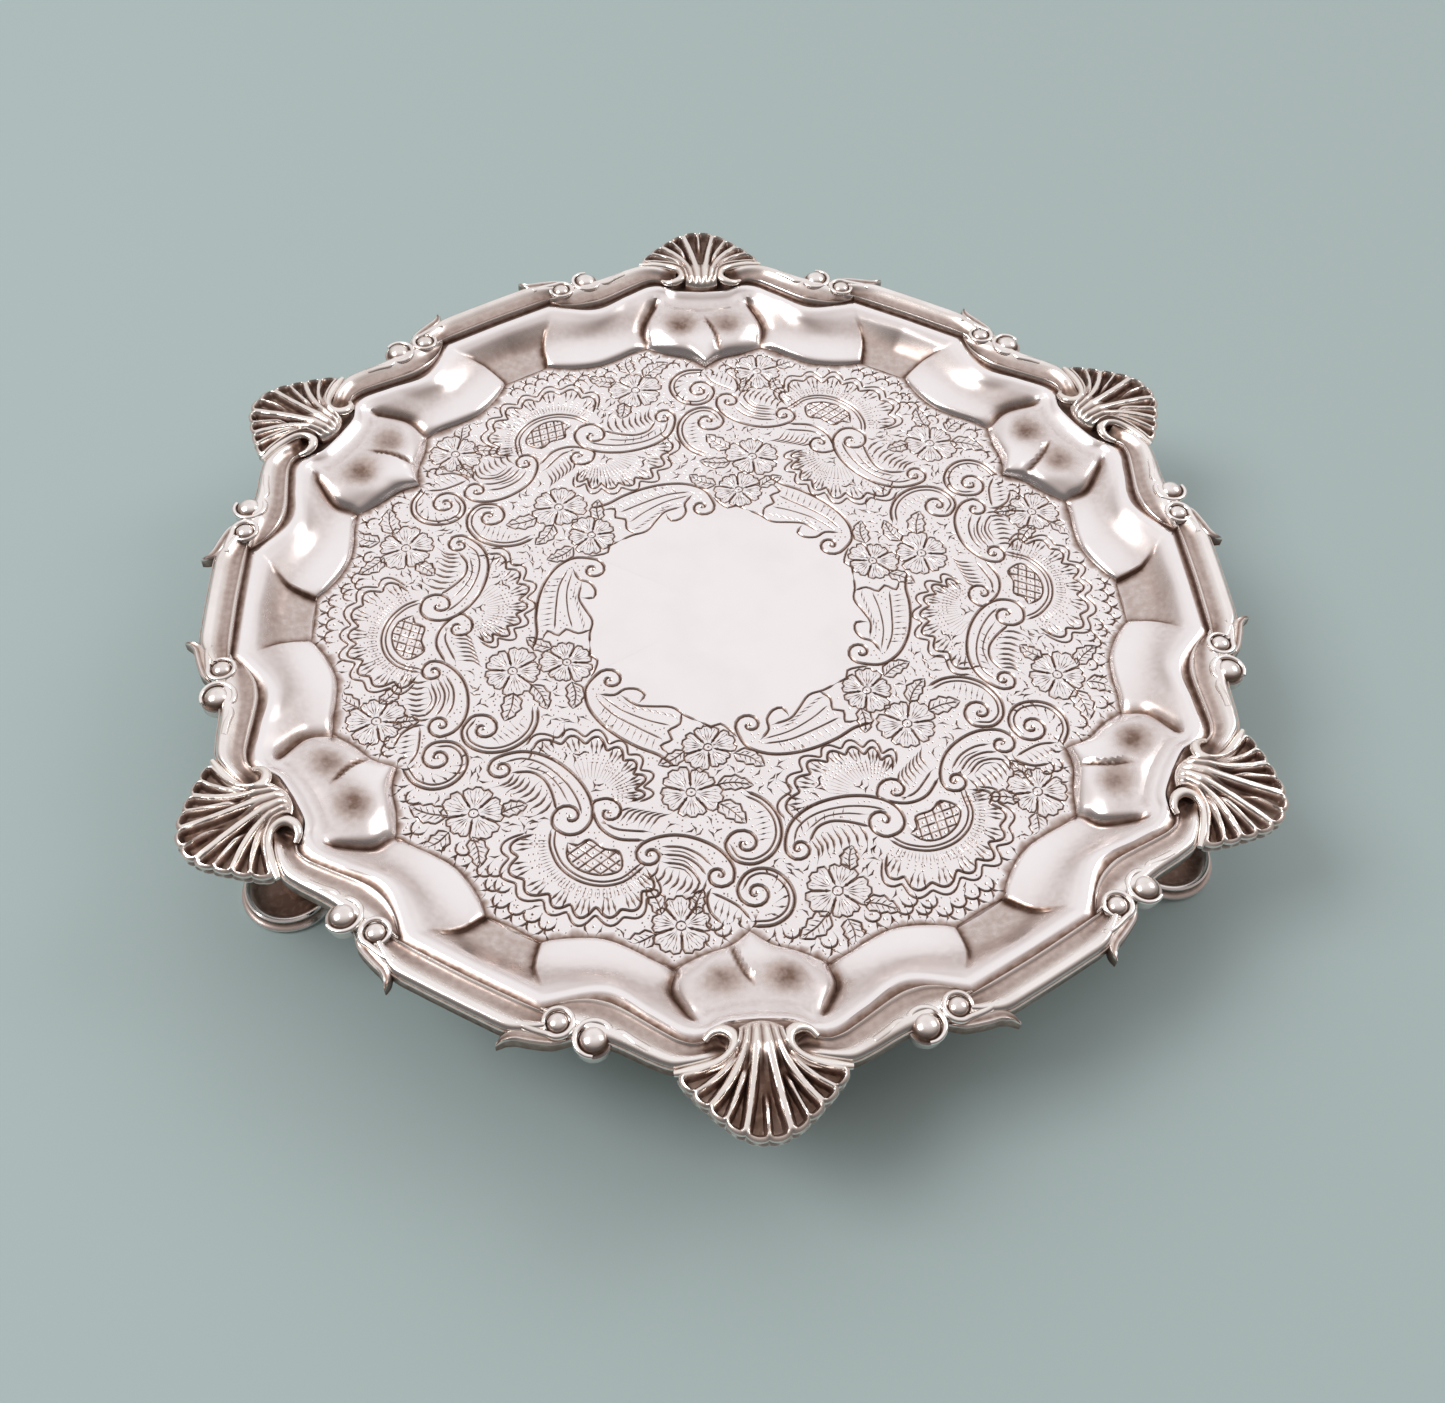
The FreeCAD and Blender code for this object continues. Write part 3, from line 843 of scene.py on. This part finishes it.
def chase_ground(work, chance):
    """Small comma strokes and punched dots on the ground that is left."""
    tree = index_lines(work)
    pitch = 1.05
    for row in range(76):
        for column in range(76):
            x = -62 + pitch * (column + 0.5 * (row % 2)) + chance.uniform(-0.4, 0.4)
            y = -72 + pitch * 0.87 * row + chance.uniform(-0.4, 0.4)
            angle = bearing((x, y)) % 360 - 360
            radius = math.hypot(x, y)
            if not -SECTOR_ANGLE <= angle < 0 or radius < RESERVE_RADIUS or radius > work.edge(angle) - 0.9:
                continue
            gap = tree.find((x, y, 0))[2]
            if gap > 1.15 and chance.random() < 0.4:
                outward = math.degrees(math.atan2(y, x))
                heading = outward + chance.choice((-50, 40, 130)) + chance.uniform(-15, 15)
                work.line([on_circle((x, y), reach, heading + turn)
                           for reach, turn in ((0.75, 180), (0.25, 90), (0.75, 0))], 0.38)
            elif gap > 0.55 and chance.random() < 0.5:
                work.dot(x, y, 0.17 + 0.06 * chance.random())


def make_chasing(edge):
    work = Chasing(edge)
    chase_cartouche(work)
    chase_inner_ruffle(work)
    chase_big_leaf(work)
    chase_ribbon(work)
    chase_cusp_scroll(work)
    chase_sprays(work)
    chase_reserve_leaf(work)
    chase_scales(work)
    chase_ground(work, random.Random(7))
    return work


def stroke_outline(points, width, taper):
    """Half widths along a chased line, running to a point at its ends."""
    along = np.r_[0, np.cumsum(np.linalg.norm(np.diff(points, axis=0), axis=1))]
    to_end = np.minimum(along, along[-1] - along)
    return width / 2 * (np.clip(0.2 + to_end / LINE_TAPER, 0, 1) if taper else np.ones(len(points)))


def field_mesh(outline, edge):
    """The chased field over one sector: points (x, y, z), triangles and patina."""
    work = make_chasing(edge)
    points, edges = [], []
    samples = []

    def chain(run, closed=False):
        first = len(points)
        points.extend(run)
        edges.extend((first + k, first + k + 1) for k in range(len(run) - 1))
        if closed:
            edges.append((first + len(run) - 1, first))

    for turn in (0, SECTOR_ANGLE):
        for line, width, taper in work.lines:
            line = rotated(line, turn)
            away = halved(bearing(line))
            if away.max() < -1 or away.min() > SECTOR_ANGLE + 1:
                continue
            half = stroke_outline(line, width, taper)
            side = normals_of(line) * half[:, None]
            chain(line.tolist())
            chain((line + side).tolist())
            chain((line - side).tolist())
            fine = max(2, len(line) * 8)
            dense = resampled(line, fine)
            reach = np.interp(np.linspace(0, 1, fine), np.linspace(0, 1, len(line)), half)
            samples.append(np.column_stack([dense, reach, np.full(fine, LINE_DEPTH * width / LINE_WIDTH)]))
        for x, y, size in work.dots:
            x, y = rotated([x, y], turn)
            away = halved(bearing((x, y)))
            if not -1 < away < SECTOR_ANGLE + 1:
                continue
            corners = 4 if size < 0.26 else 6
            chain([on_circle((x, y), size, 360 / corners * k) for k in range(corners)], closed=True)
            chain([(x, y)])
            samples.append(np.array([[x, y, size, size * 0.5]]))
    seam_start, seam_end = rotated(outline[0, :2], 0), rotated(outline[0, :2], SECTOR_ANGLE)
    chain([(0.0, 0.0), tuple(seam_start)])
    chain([(0.0, 0.0), tuple(seam_end)])
    chain([tuple(point) for point in outline[:, :2]] + [tuple(seam_end)])

    flat, _, triangles, _, _, _ = geometry.delaunay_2d_cdt([Vector(p) for p in points], edges, [], 0, 1e-5)
    flat = np.array([tuple(point) for point in flat])
    triangles = np.array([face for face in triangles if len(face) == 3])
    middle = flat[triangles].mean(1)
    angle = halved(bearing(middle))
    inside = (angle > 0) & (angle < SECTOR_ANGLE)
    rim = np.vstack([outline[:, :2], seam_end])
    rim_angle = bearing(rim)
    chord = np.searchsorted(rim_angle, np.clip(angle, 0, SECTOR_ANGLE - 1e-6), side="right") - 1
    chord = np.clip(chord, 0, len(rim) - 2)
    a, b = rim[chord], rim[chord + 1]
    cross = (b[:, 0] - a[:, 0]) * (middle[:, 1] - a[:, 1]) - (b[:, 1] - a[:, 1]) * (middle[:, 0] - a[:, 0])
    triangles = triangles[inside & (cross > 0)]
    used = np.unique(triangles)
    renumber = np.zeros(len(flat), int)
    renumber[used] = np.arange(len(used))
    flat, triangles = flat[used], renumber[triangles]

    samples = np.vstack(samples)
    tree = kdtree.KDTree(len(samples))
    for index, (x, y) in enumerate(samples[:, :2]):
        tree.insert((x, y, 0), index)
    tree.balance()
    depth = np.zeros(len(flat))
    patina_and_shade = 0.02 * smoothstep(20, 30, np.hypot(flat[:, 0], flat[:, 1]))
    for number, (x, y) in enumerate(flat):
        for _, index, distance in tree.find_range((x, y, 0), 0.5):
            reach, deep = samples[index, 2:]
            share = 1 - distance / max(reach, 0.01)
            if share > 0:
                depth[number] = max(depth[number], share * deep)
                patina_and_shade[number] = max(patina_and_shade[number], min(1.0, max(0.0, share - 0.1) * 2.6))
    return np.column_stack([flat, FIELD_Z - depth]), triangles, patina_and_shade


def make_tray():
    """The whole sheet: chased field, panelled rise, rounded shoulder, ledge and underside."""
    rings = (FIELD_EDGE, PANEL_LIP, CAVETTO, SHOULDER, SHOULDER_CREST, MOULDING_LINE, SHEET_EDGE)
    top, patina_and_shade = press_details(section([ring_points(ring) for ring in rings]))
    top[0, :, 2] = FIELD_Z
    outline = top[0]
    edge = field_radius(outline)
    field, triangles, field_patina_and_shade = field_mesh(outline, edge)
    rim = np.hypot(field[:, 0], field[:, 1])
    near_edge = rim > edge(bearing(field)) - 0.02
    field[near_edge, 2] = FIELD_Z
    # Painted shade in the crease where the field meets the rise
    field_patina_and_shade[near_edge] = 0.85
    shape = Shape()
    for index in range(SECTORS):
        shape.add(rotated(field, index * SECTOR_ANGLE), triangles, field_patina_and_shade)
    whole = np.concatenate([rotated(top, index * SECTOR_ANGLE) for index in range(SECTORS)], 1)
    values = np.tile(patina_and_shade, (1, SECTORS))
    rows, columns = whole.shape[:2]
    shape.add(whole, grid_faces(rows, columns, closed=True), values.reshape(-1))
    span = np.cumsum((0,) + ROWS)
    kept = [span[6], span[5], span[3], span[2] + 4, span[2], span[1], 0]
    below = whole[kept].copy()
    below[:, :, 2] -= SHEET_THICKNESS
    below[0, :, 2] = SKIRT_Z
    shape.add(below, grid_faces(len(kept), columns, closed=True), 0.1)
    shape.add(np.stack([whole[-1], below[0]]), grid_faces(2, columns, closed=True), 0.1)
    under = np.vstack([below[-1], [[0, 0, FIELD_Z - SHEET_THICKNESS]]])
    fan = [(k, (k + 1) % columns, columns) for k in range(columns)]
    shape.add(under, fan, 0.05)
    return shape


# ---- Mouldings

# Section of the moulding, inner to outer edge: (share of the width, height above the ledge, patina and
# painted shade). The dark inner edge is a painted shadow of the shoulder; the cove and the quirk by the outer
# bead hold patina with painted shade.
MOULDING_SECTION = [
    (0.00, 0.00, 0.85), (0.02, 0.50, 0.75), (0.05, 0.92, 0.15), (0.085, 1.06, 0.0), (0.12, 0.96, 0.12),
    (0.145, 0.84, 0.58), (0.20, 0.72, 0.70), (0.27, 0.68, 0.64), (0.34, 0.72, 0.68), (0.41, 0.84, 0.60),
    (0.48, 1.05, 0.36), (0.54, 1.30, 0.16), (0.59, 1.52, 0.03), (0.64, 1.72, 0.0), (0.70, 1.88, 0.0),
    (0.76, 1.94, 0.0), (0.82, 1.88, 0.0), (0.87, 1.72, 0.0), (0.91, 1.50, 0.05), (0.94, 1.24, 0.35),
    (0.955, 1.10, 0.90), (0.97, 1.08, 0.75), (0.985, 1.12, 0.2), (1.00, 0.98, 0.1),
]


def moulding_band(shape, inner, outer, stations, lift=lambda share: 1.0, eye=None):
    """A run of moulding between its inner and outer plan lines."""
    inner, outer = resampled(inner, stations), resampled(outer, stations)
    share = np.array([part[0] for part in MOULDING_SECTION])
    height = np.array([part[1] for part in MOULDING_SECTION])
    patina_and_shade = np.array([part[2] for part in MOULDING_SECTION])
    along = np.linspace(0, 1, stations)
    scale = np.array([lift(t) for t in along])
    grid = np.empty((stations, len(share), 3))
    grid[..., :2] = inner[:, None] + (outer - inner)[:, None] * share[None, :, None]
    grid[..., 2] = LEDGE_Z + height[None, :] * scale[:, None]
    # Patina and painted shade, darker towards both ends of the run
    values = np.clip(patina_and_shade * (0.68 + 0.55 * np.abs(2 * along - 1) ** 3)[:, None], 0, 1)
    if eye is not None:
        away = np.hypot(grid[..., 0] - eye[0], grid[..., 1] - eye[1])
        near = np.exp(-(away / 2.4) ** 2)
        grid[..., 2] -= 0.7 * near
        # The sunken eye painted dark: patina with painted shade in its hollow
        values = np.clip(values + 1.0 * np.exp(-(away / 2.1) ** 4), 0, 1)
    shape.add_relief(grid, SKIRT_Z, values)


def round_ball(shape, ball, lift=0.0):
    """A polished ball sitting in the eye of a volute."""
    angle, radius, size = ball
    x, y = polar(angle, radius)
    z = LEDGE_Z + 0.85 + lift
    steps = 16
    profile = [(size * math.sin(math.pi * k / steps), z - 0.76 * size * math.cos(math.pi * k / steps))
               for k in range(steps + 1)]
    # The ball's lower half and its seat painted dark: painted shade, with patina in the groove round the ball
    darkness = np.interp(np.arange(steps + 1), [10, 11, 12, 13, 16], [0.95, 0.55, 0.10, 0.0, 0.10])
    shape.add_lathe((x, y), profile, darkness, 28)
    drum = size + 0.5
    seat = [(0, SKIRT_Z), (drum - 0.1, SKIRT_Z), (drum, SKIRT_Z + 0.3), (drum, LEDGE_Z + 0.75),
            (drum - 0.2, LEDGE_Z + 0.95), (size * 0.7, LEDGE_Z + 0.7), (0, LEDGE_Z + 0.7)]
    shape.add_lathe((x, y), seat, [0.1, 0.1, 0.1, 0.1, 0.3, 1.0, 1.0], 32)


def volute_ring(shape, ball, lead, start, end, thickness):
    """The moulding's bead curling round a ball. Headings: 0 along the border, 90 outwards."""
    angle, radius, size = ball
    x, y = polar(angle, radius)
    heading = FIRST_SHELL_AZIMUTH + angle
    steps = 34
    path, radii = [], []
    for step in range(steps + 1):
        share = step / steps
        turn = start + (end - start) * share
        world = math.radians(heading + 90 - turn)
        reach = size + thickness * (0.95 - 0.35 * share)
        path.append((x + reach * math.cos(world), y + reach * math.sin(world),
                     LEDGE_Z + 1.28 + 0.25 * math.sin(share * math.pi)))
        radii.append(thickness * (1.0 - 0.45 * share))
    before = [(*polar(a, r), LEDGE_Z + z) for a, r, z in lead]
    keys = before + path[::3]
    smooth = spline(keys, 0.35)
    widths = np.interp(np.linspace(0, 1, len(smooth)), np.linspace(0, 1, len(keys)),
                       [thickness * 1.15] * len(before) + radii[::3])
    shape.add_tube(smooth, widths, 0.0, 1.0)


def leaf_spur(shape):
    """The leaf that runs out from the middle volute and ends in a hooked tip."""
    keys = [(17.9, 89.0), (19.6, 90.15), (21.3, 90.75), (22.9, 91.25), (23.75, 92.2), (24.2, 93.6)]
    path = spline([polar(*key) for key in keys], 0.3)
    count = len(path)
    share = np.linspace(0, 1, count)
    half = np.interp(share, [0, 0.25, 0.6, 0.8, 0.93, 1], [0.5, 0.95, 0.95, 0.8, 0.45, 0.08])
    top = np.interp(share, [0, 0.3, 0.7, 0.9, 1], [1.1, 1.45, 1.55, 1.35, 0.9])
    side = normals_of(path)
    across = np.array([-1, -0.92, -0.6, -0.2, 0, 0.2, 0.6, 0.92, 1.0])
    crown = np.array([-0.55, -0.2, 0.0, -0.16, -0.22, -0.16, 0.0, -0.2, -0.55])
    grid = np.empty((count, len(across), 3))
    grid[..., :2] = path[:, None] + side[:, None] * (half[:, None] * across[None, :])[..., None]
    grid[..., 2] = LEDGE_Z + top[:, None] + crown[None, :]
    values = np.tile([0.7, 0.2, 0, 0.5, 0.75, 0.5, 0, 0.2, 0.7], (count, 1))
    shape.add_relief(grid, SKIRT_Z, values)


def make_side_moulding():
    """The S-curved moulding right of a shell, from the dark eye at its neck to the outer volute."""
    shape = Shape()
    inner = [(3.6, 86.2), (4.5, 85.3), (5.4, 86.0), (6.6, 86.6), (8, 86.2), (9.4, 85.3), (10.9, 84.3),
             (12.5, 83.3), (14, 82.5), (15.6, 82.0), (17.7, 82.2), (19.7, 83.4), (21.4, 85.4)]
    outer = [(3.3, 88.8), (5.0, 89.9), (6.8, 90.8), (8.4, 91.3), (10.3, 90.6), (11.5, 90.0), (13, 89.3),
             (14.2, 88.9), (15.9, 88.6), (17.4, 88.0), (19.0, 87.4), (20.6, 86.6), (21.8, 86.2)]
    inner_line = spline([polar(*key) for key in inner], 0.3)
    outer_line = spline([polar(*key) for key in outer], 0.3)
    moulding_band(shape, inner_line, outer_line, 92, lambda t: 1.0 - 0.35 * float(smoothstep(0.72, 0.9, t)),
                  eye=polar(4.0, 87.2))
    round_ball(shape, SIDE_BALL)
    lead = [(10.6, 88.9, 1.25), (12.0, 88.0, 1.3), (13.3, 87.0, 1.3)]
    volute_ring(shape, SIDE_BALL, lead, 215, 470, 0.66)
    return shape


def make_mid_moulding():
    """The straight moulding of a side, with a volute and a leaf spur at both ends."""
    shape = Shape()
    half_inner = [(20.9, 86.2), (22.2, 86.0), (24, 85.7), (27, 85.45), (30, 85.4)]
    half_outer = [(20.6, 89.2), (21.8, 90.2), (23.8, 91.3), (27, 91.1), (30, 91.0)]
    inner = [polar(*key) for key in half_inner] + [polar(60 - a, r) for a, r in half_inner[-2::-1]]
    outer = [polar(*key) for key in half_outer] + [polar(60 - a, r) for a, r in half_outer[-2::-1]]
    moulding_band(shape, spline(inner, 0.3), spline(outer, 0.3), 90)
    end = Shape()
    round_ball(end, MID_BALL, 0.05)
    volute_ring(end, MID_BALL, [(23.2, 89.4, 1.3), (21.8, 89.7, 1.3)], 70, 420, 0.58)
    leaf_spur(end)
    shape.add_shape(end)
    return shape.add_shape(end, lambda points: rotated(mirrored(points), SECTOR_ANGLE))


# ---- Shells

# Height of a shell's ribs above the ledge, as (share of the way from the neck to the lip, height), and the
# depths of the dark hollows between the ribs and of the flutes at the neck
SHELL_CREST = [(0, 1.0), (0.04, 1.9), (0.12, 2.7), (0.28, 3.2), (0.6, 2.6), (0.9, 2.0), (0.97, 1.8),
               (1.0, 1.35)]
HOLLOW_DEPTH = 1.55
FLUTE_DEPTH = 0.42


def make_shell():
    """A cast scallop: curved ribs gathered into a neck, dark hollows, and a lip over a beaded skirt."""
    shape = Shape()
    columns = 160
    across = np.linspace(-1, 1, columns + 1)
    along = np.r_[np.linspace(0, 0.86, 38), np.linspace(0.87, 1, 16)]
    pitches = RIBS + 1
    lobe = np.abs(np.sin(np.pi * (across + 1) / 2 * pitches))
    turn = np.radians(FAN_HALF_ANGLE) * across
    reach = (FAN_RADIUS + 0.5 * lobe ** 0.7) * (1 - 0.105 * np.sin(2 * turn) ** 2)
    tip = np.stack([reach * np.sin(turn), -FAN_CENTRE - reach * np.cos(turn)], 1)
    neck = np.stack([3.3 * across, -83.2 - 1.0 * across ** 2], 1)
    bend = np.stack([2.8 * across + 0.35 * np.sin(across * 5), np.full_like(across, -90.2)], 1)
    s = along[:, None, None]
    plan = (1 - s) ** 2 * neck + 2 * s * (1 - s) * bend + s ** 2 * tip
    pitch = np.linalg.norm(np.gradient(plan, axis=1), axis=2) * columns / pitches
    place = (across + 1) / 2 * pitches
    to_rib = np.abs(place - np.round(place))[None, :] * pitch
    crest = np.interp(along, *zip(*SHELL_CREST))
    depth = HOLLOW_DEPTH * smoothstep(0.33, 0.54, along) * (1 - smoothstep(0.935, 0.98, along))
    flute = FLUTE_DEPTH * (1 - smoothstep(0.42, 0.6, along)) * smoothstep(0.02, 0.1, along)
    number = np.clip(np.round(place).astype(int), 0, pitches)
    rib_width = np.array(RIB_WIDTHS)[number][None, :]
    fades_in = np.array(RIB_STARTS)[number][None, :]
    ridge = 1 - smoothstep(0.55 * rib_width, rib_width + 0.55, to_rib)
    ridge = ridge * smoothstep(0, 0.2, along[:, None] - fades_in)
    wave = 0.5 + 0.5 * np.cos(np.pi * place)[None, :]
    z = crest[:, None] - depth[:, None] * (1 - ridge) - flute[:, None] * (1 - wave ** 0.6)
    hollow = (depth / HOLLOW_DEPTH)[:, None] * (1 - ridge)
    # Hollows and flutes painted dark, patina with painted shade, and the fan a little darker beyond the neck
    patina_and_shade = 0.92 * np.clip(1.5 * hollow - 0.25, 0, 1)
    patina_and_shade = patina_and_shade + 0.7 * (flute / FLUTE_DEPTH)[:, None] * (1 - wave) ** 7
    patina_and_shade = np.clip(patina_and_shade + 0.10 * smoothstep(0.1, 0.5, along)[:, None], 0, 1)
    grid = np.concatenate([plan, (LEDGE_Z + z)[..., None]], 2)
    outward = np.stack([np.sin(turn), -np.cos(turn)], 1)
    edge = grid[-1]
    beads = np.abs(np.cos(np.pi * (across + 1) / 2 * pitches))
    skirt = []
    for inset, level, swell in ((0.05, 0.9, 0), (-0.35, 0.6, 0), (-0.25, 0.3, 0.15), (-0.05, 0.0, 0.25),
                                (-0.1, -0.4, 0.2), (-0.5, -0.7, 0)):
        ring = edge.copy()
        ring[:, :2] += outward * (inset + swell * beads[:, None])
        ring[:, 2] = LEDGE_Z + level
        skirt.append(ring)
    whole = np.concatenate([grid, np.stack(skirt)])
    # Painted shadow in the groove under the lip
    darkness = np.concatenate([patina_and_shade, np.tile([[0.1], [0.9], [0.35], [0.0], [0.1], [0.3]], (1, columns + 1))])
    shape.add_relief(whole, SKIRT_Z, darkness)
    flank = [(12.9, -90.9, 1.5), (9.6, -90.6, 1.7), (6.6, -89.9, 1.8), (4.7, -88.7, 2.0), (3.9, -87.0, 2.1),
             (4.3, -85.5, 2.0), (5.6, -84.7, 1.8), (7.1, -84.9, 1.5), (8.2, -85.9, 1.1)]
    path = spline([(x, y, LEDGE_Z + z - 0.45) for x, y, z in flank], 0.35)
    widths = np.interp(np.linspace(0, 1, len(path)), [0, 0.15, 0.5, 0.8, 1], [0.5, 0.85, 1.0, 0.9, 0.5])
    shape.add_tube(path, widths, 0.0, 0.85, 16)
    shape.add_tube(mirrored(path), widths, 0.0, 0.85, 16)
    return shape


# ---- Feet

def make_foot():
    """A cast foot under the shell at +Y: dished pad with two rolled lips and a scrolled leg."""
    shape = Shape()
    profile = [(0, 0.25), (6.4, 0.25), (7.3, 0.0), (8.0, 0.12), (8.3, 0.5), (8.25, 0.85), (7.85, 1.15),
               (7.45, 1.3), (7.3, 1.55), (7.4, 1.9), (7.55, 2.2), (7.5, 2.5), (7.2, 2.68), (6.85, 2.6),
               (6.4, 2.2), (5.9, 1.6), (5.1, 1.15), (3.4, 1.0), (0, 1.0)]
    # Darkened in the groove between the rolled lips and across the dish
    darkness = [0.2, 0.2, 0.1, 0.0, 0.0, 0.1, 0.3, 0.6, 0.7, 0.4, 0.0, 0.0, 0.0, 0.1, 0.5, 0.8, 0.95, 1.0, 1.0]
    shape.add_lathe((0, FOOT_RADIUS), profile, darkness, 72)
    spine = [(-1.5, 0.6), (-2.2, 2.6), (-3.1, 6.0), (-3.4, 10.0), (-3.0, 13.6), (-2.5, 17.6), (-2.3, 21.0),
             (-2.3, 23.9)]
    wide = [3.6, 2.6, 2.0, 2.4, 3.1, 4.2, 5.4, 6.6]
    deep = [2.9, 2.1, 1.8, 2.1, 2.5, 2.9, 3.3, 3.8]
    keys = spline([(shift, z, w, d) for (shift, z), w, d in zip(spine, wide, deep)], 0.45)
    sides = 40
    turn = np.linspace(0, 2 * math.pi, sides, endpoint=False)
    fold = 1 + 0.10 * np.abs(np.cos(turn * 2.5)) ** 0.8
    rings = np.empty((len(keys), sides, 3))
    rings[..., 0] = keys[:, 2:3] * np.cos(turn) * fold
    rings[..., 1] = FOOT_RADIUS + keys[:, 0:1] + keys[:, 3:4] * np.sin(turn) * fold
    rings[..., 2] = keys[:, 1:2]
    count = len(keys) * sides
    faces = grid_faces(len(keys), sides, closed=True)
    faces += [tuple(range(sides - 1, -1, -1)), tuple(range(count - sides, count))]
    low_shade = 0.7 * (1 - smoothstep(2, 12, keys[:, 1:2]))
    shape.add(rings, faces, np.clip((1.25 - fold)[None, :] * 0.8 + low_shade, 0, 1).reshape(-1))
    for side in (-1, 1):
        path, radii = [], []
        for step in range(40):
            share = step / 39
            heading = math.radians(-60 + 560 * share)
            reach = 2.3 * (1 - share) + 0.35
            path.append((side * (4.4 + 0.4 * share), FOOT_RADIUS - 2.8 + reach * math.cos(heading),
                         18.4 + reach * math.sin(heading)))
            radii.append(0.75 - 0.3 * share)
        shape.add_tube(path, radii, 0.05)
    return shape


# ---- Scene

# Silver of each kind of piece: colour, roughness, cloudiness of the polish and grain
METALS = {
    "tray_silver": ((0.965, 0.93, 0.925), 0.15, 0.10, 0.08),
    "moulding_silver": ((0.95, 0.91, 0.88), 0.15, 0.55, 0.12),
    "shell_silver": ((0.96, 0.91, 0.86), 0.14, 0.45, 0.12),
    "foot_silver": ((0.90, 0.87, 0.85), 0.13, 0.4, 0.10),
}


def build_salver():
    metals = {name: silver(name, *look) for name, look in METALS.items()}
    make_piece("tray", make_tray(), metals["tray_silver"], "tray_plate", sharp_angle=24)
    shell, middle, side, foot = make_shell(), make_mid_moulding(), make_side_moulding(), make_foot()
    other_side = Shape().add_shape(side, mirrored)
    castings = (
        ("cast_shell_{}", shell, "shell_silver", "shell_{}"),
        ("moulding_mid_{}", middle, "moulding_silver", "mid_moulding_{}"),
        ("moulding_right_{}", side, "moulding_silver", "side_moulding_{}_right"),
        ("moulding_left_{}", other_side, "moulding_silver", "side_moulding_{}_left"),
    )
    repeats = [(index, SECTOR_ANGLE, casting) for index in range(SECTORS) for casting in castings]
    repeats += [(index, 360 / FEET, ("pad_foot_{}", foot, "foot_silver", "foot_{}")) for index in range(FEET)]
    for index, spacing, (name, shape, slot, cad_node) in repeats:
        turned = Shape().add_shape(shape, lambda points: rotated(points, index * spacing))
        make_piece(name.format(index + 1), turned, metals[slot], cad_node.format(index + 1))


# Where the camera looks, in millimetres, and how it is held, in degrees
CAMERA_TARGET = (-1.57, -20.68, FIELD_Z)
CAMERA_DISTANCE = 265.8
CAMERA_AZIMUTH = -96.01
CAMERA_ELEVATION = 53.33
CAMERA_ROLL = 3.25
CAMERA_LENS = 38.22


def make_camera():
    """Looks down on the salver from in front of the first shell, held slightly tilted."""
    azimuth, elevation, roll = map(math.radians, (CAMERA_AZIMUTH, CAMERA_ELEVATION, CAMERA_ROLL))
    target = Vector(CAMERA_TARGET) * MM
    back = Vector((math.cos(elevation) * math.cos(azimuth), math.cos(elevation) * math.sin(azimuth),
                   math.sin(elevation)))
    right = Vector((-math.sin(azimuth), math.cos(azimuth), 0))
    up = back.cross(right)
    tilted_right = math.cos(roll) * right + math.sin(roll) * up
    tilted_up = -math.sin(roll) * right + math.cos(roll) * up
    data = bpy.data.cameras.new("camera")
    data.sensor_width = 36
    data.lens = CAMERA_LENS
    data.clip_start = 0.01
    turn = Matrix((tilted_right, tilted_up, back)).transposed()
    camera = link_object("camera", data)
    camera.matrix_world = Matrix.Translation(target + back * CAMERA_DISTANCE * MM) @ turn.to_4x4()
    bpy.context.scene.camera = camera


def link_object(name, data):
    made = bpy.data.objects.new(name, data)
    bpy.context.scene.collection.objects.link(made)
    return made


FLOOR_REACH = 4
FLOOR_COLOUR = (0.40, 0.50, 0.495, 1)


def make_floor():
    """A plain pale floor."""
    mesh = bpy.data.meshes.new("floor")
    corners = [(-1, -1), (1, -1), (1, 1), (-1, 1)]
    mesh.from_pydata([(FLOOR_REACH * x, FLOOR_REACH * y, 0) for x, y in corners], [], [(0, 1, 2, 3)])
    material = bpy.data.materials.new("floor")
    material.use_nodes = True
    tree = material.node_tree
    set_inputs(tree, tree.nodes["Principled BSDF"], {"Base Color": FLOOR_COLOUR, "Roughness": 0.9})
    mesh.materials.append(material)
    link_object("floor", mesh)


# The room's brightness from behind the viewer to beyond the salver, and the direction of its bright wall
SKY = [(0.0, (0.17, 0.155, 0.15)), (0.42, (0.53, 0.46, 0.435)), (0.85, (0.99, 0.965, 0.975))]
SKY_DIRECTION = (0.05, 0.62, 0.78)
SKY_STRENGTH = 0.92
# Name, place, size and power
LAMPS = (("key", (-0.85, -0.05, 1.0), 0.6, 7.0), ("fill", (0.9, 0.3, 0.8), 0.5, 2.0))


def make_light():
    """Soft studio light: a bright wall and ceiling beyond the salver, dimmer and warmer behind the viewer."""
    world = bpy.data.worlds.new("studio")
    bpy.context.scene.world = world
    world.use_nodes = True
    tree = world.node_tree
    place = add_node(tree, "ShaderNodeTexCoord").outputs["Generated"]
    toward = add_node(tree, "ShaderNodeVectorMath", {0: place, 1: Vector(SKY_DIRECTION).normalized()},
                      operation="DOT_PRODUCT")
    ramp = add_node(tree, "ShaderNodeValToRGB", {"Fac": toward.outputs["Value"]})
    set_ramp(ramp, SKY)
    set_inputs(tree, tree.nodes["Background"], {"Color": ramp.outputs["Color"], "Strength": SKY_STRENGTH})
    for name, place, size, power in LAMPS:
        data = bpy.data.lights.new(name, "AREA")
        data.size = size
        data.energy = power
        lamp = link_object(name, data)
        lamp.location = place
        lamp.rotation_mode = "QUATERNION"
        lamp.rotation_quaternion = Vector(place).to_track_quat("Z", "Y")


bpy.context.scene.view_settings.view_transform = "Standard"
build_salver()
make_camera()
make_floor()
make_light()
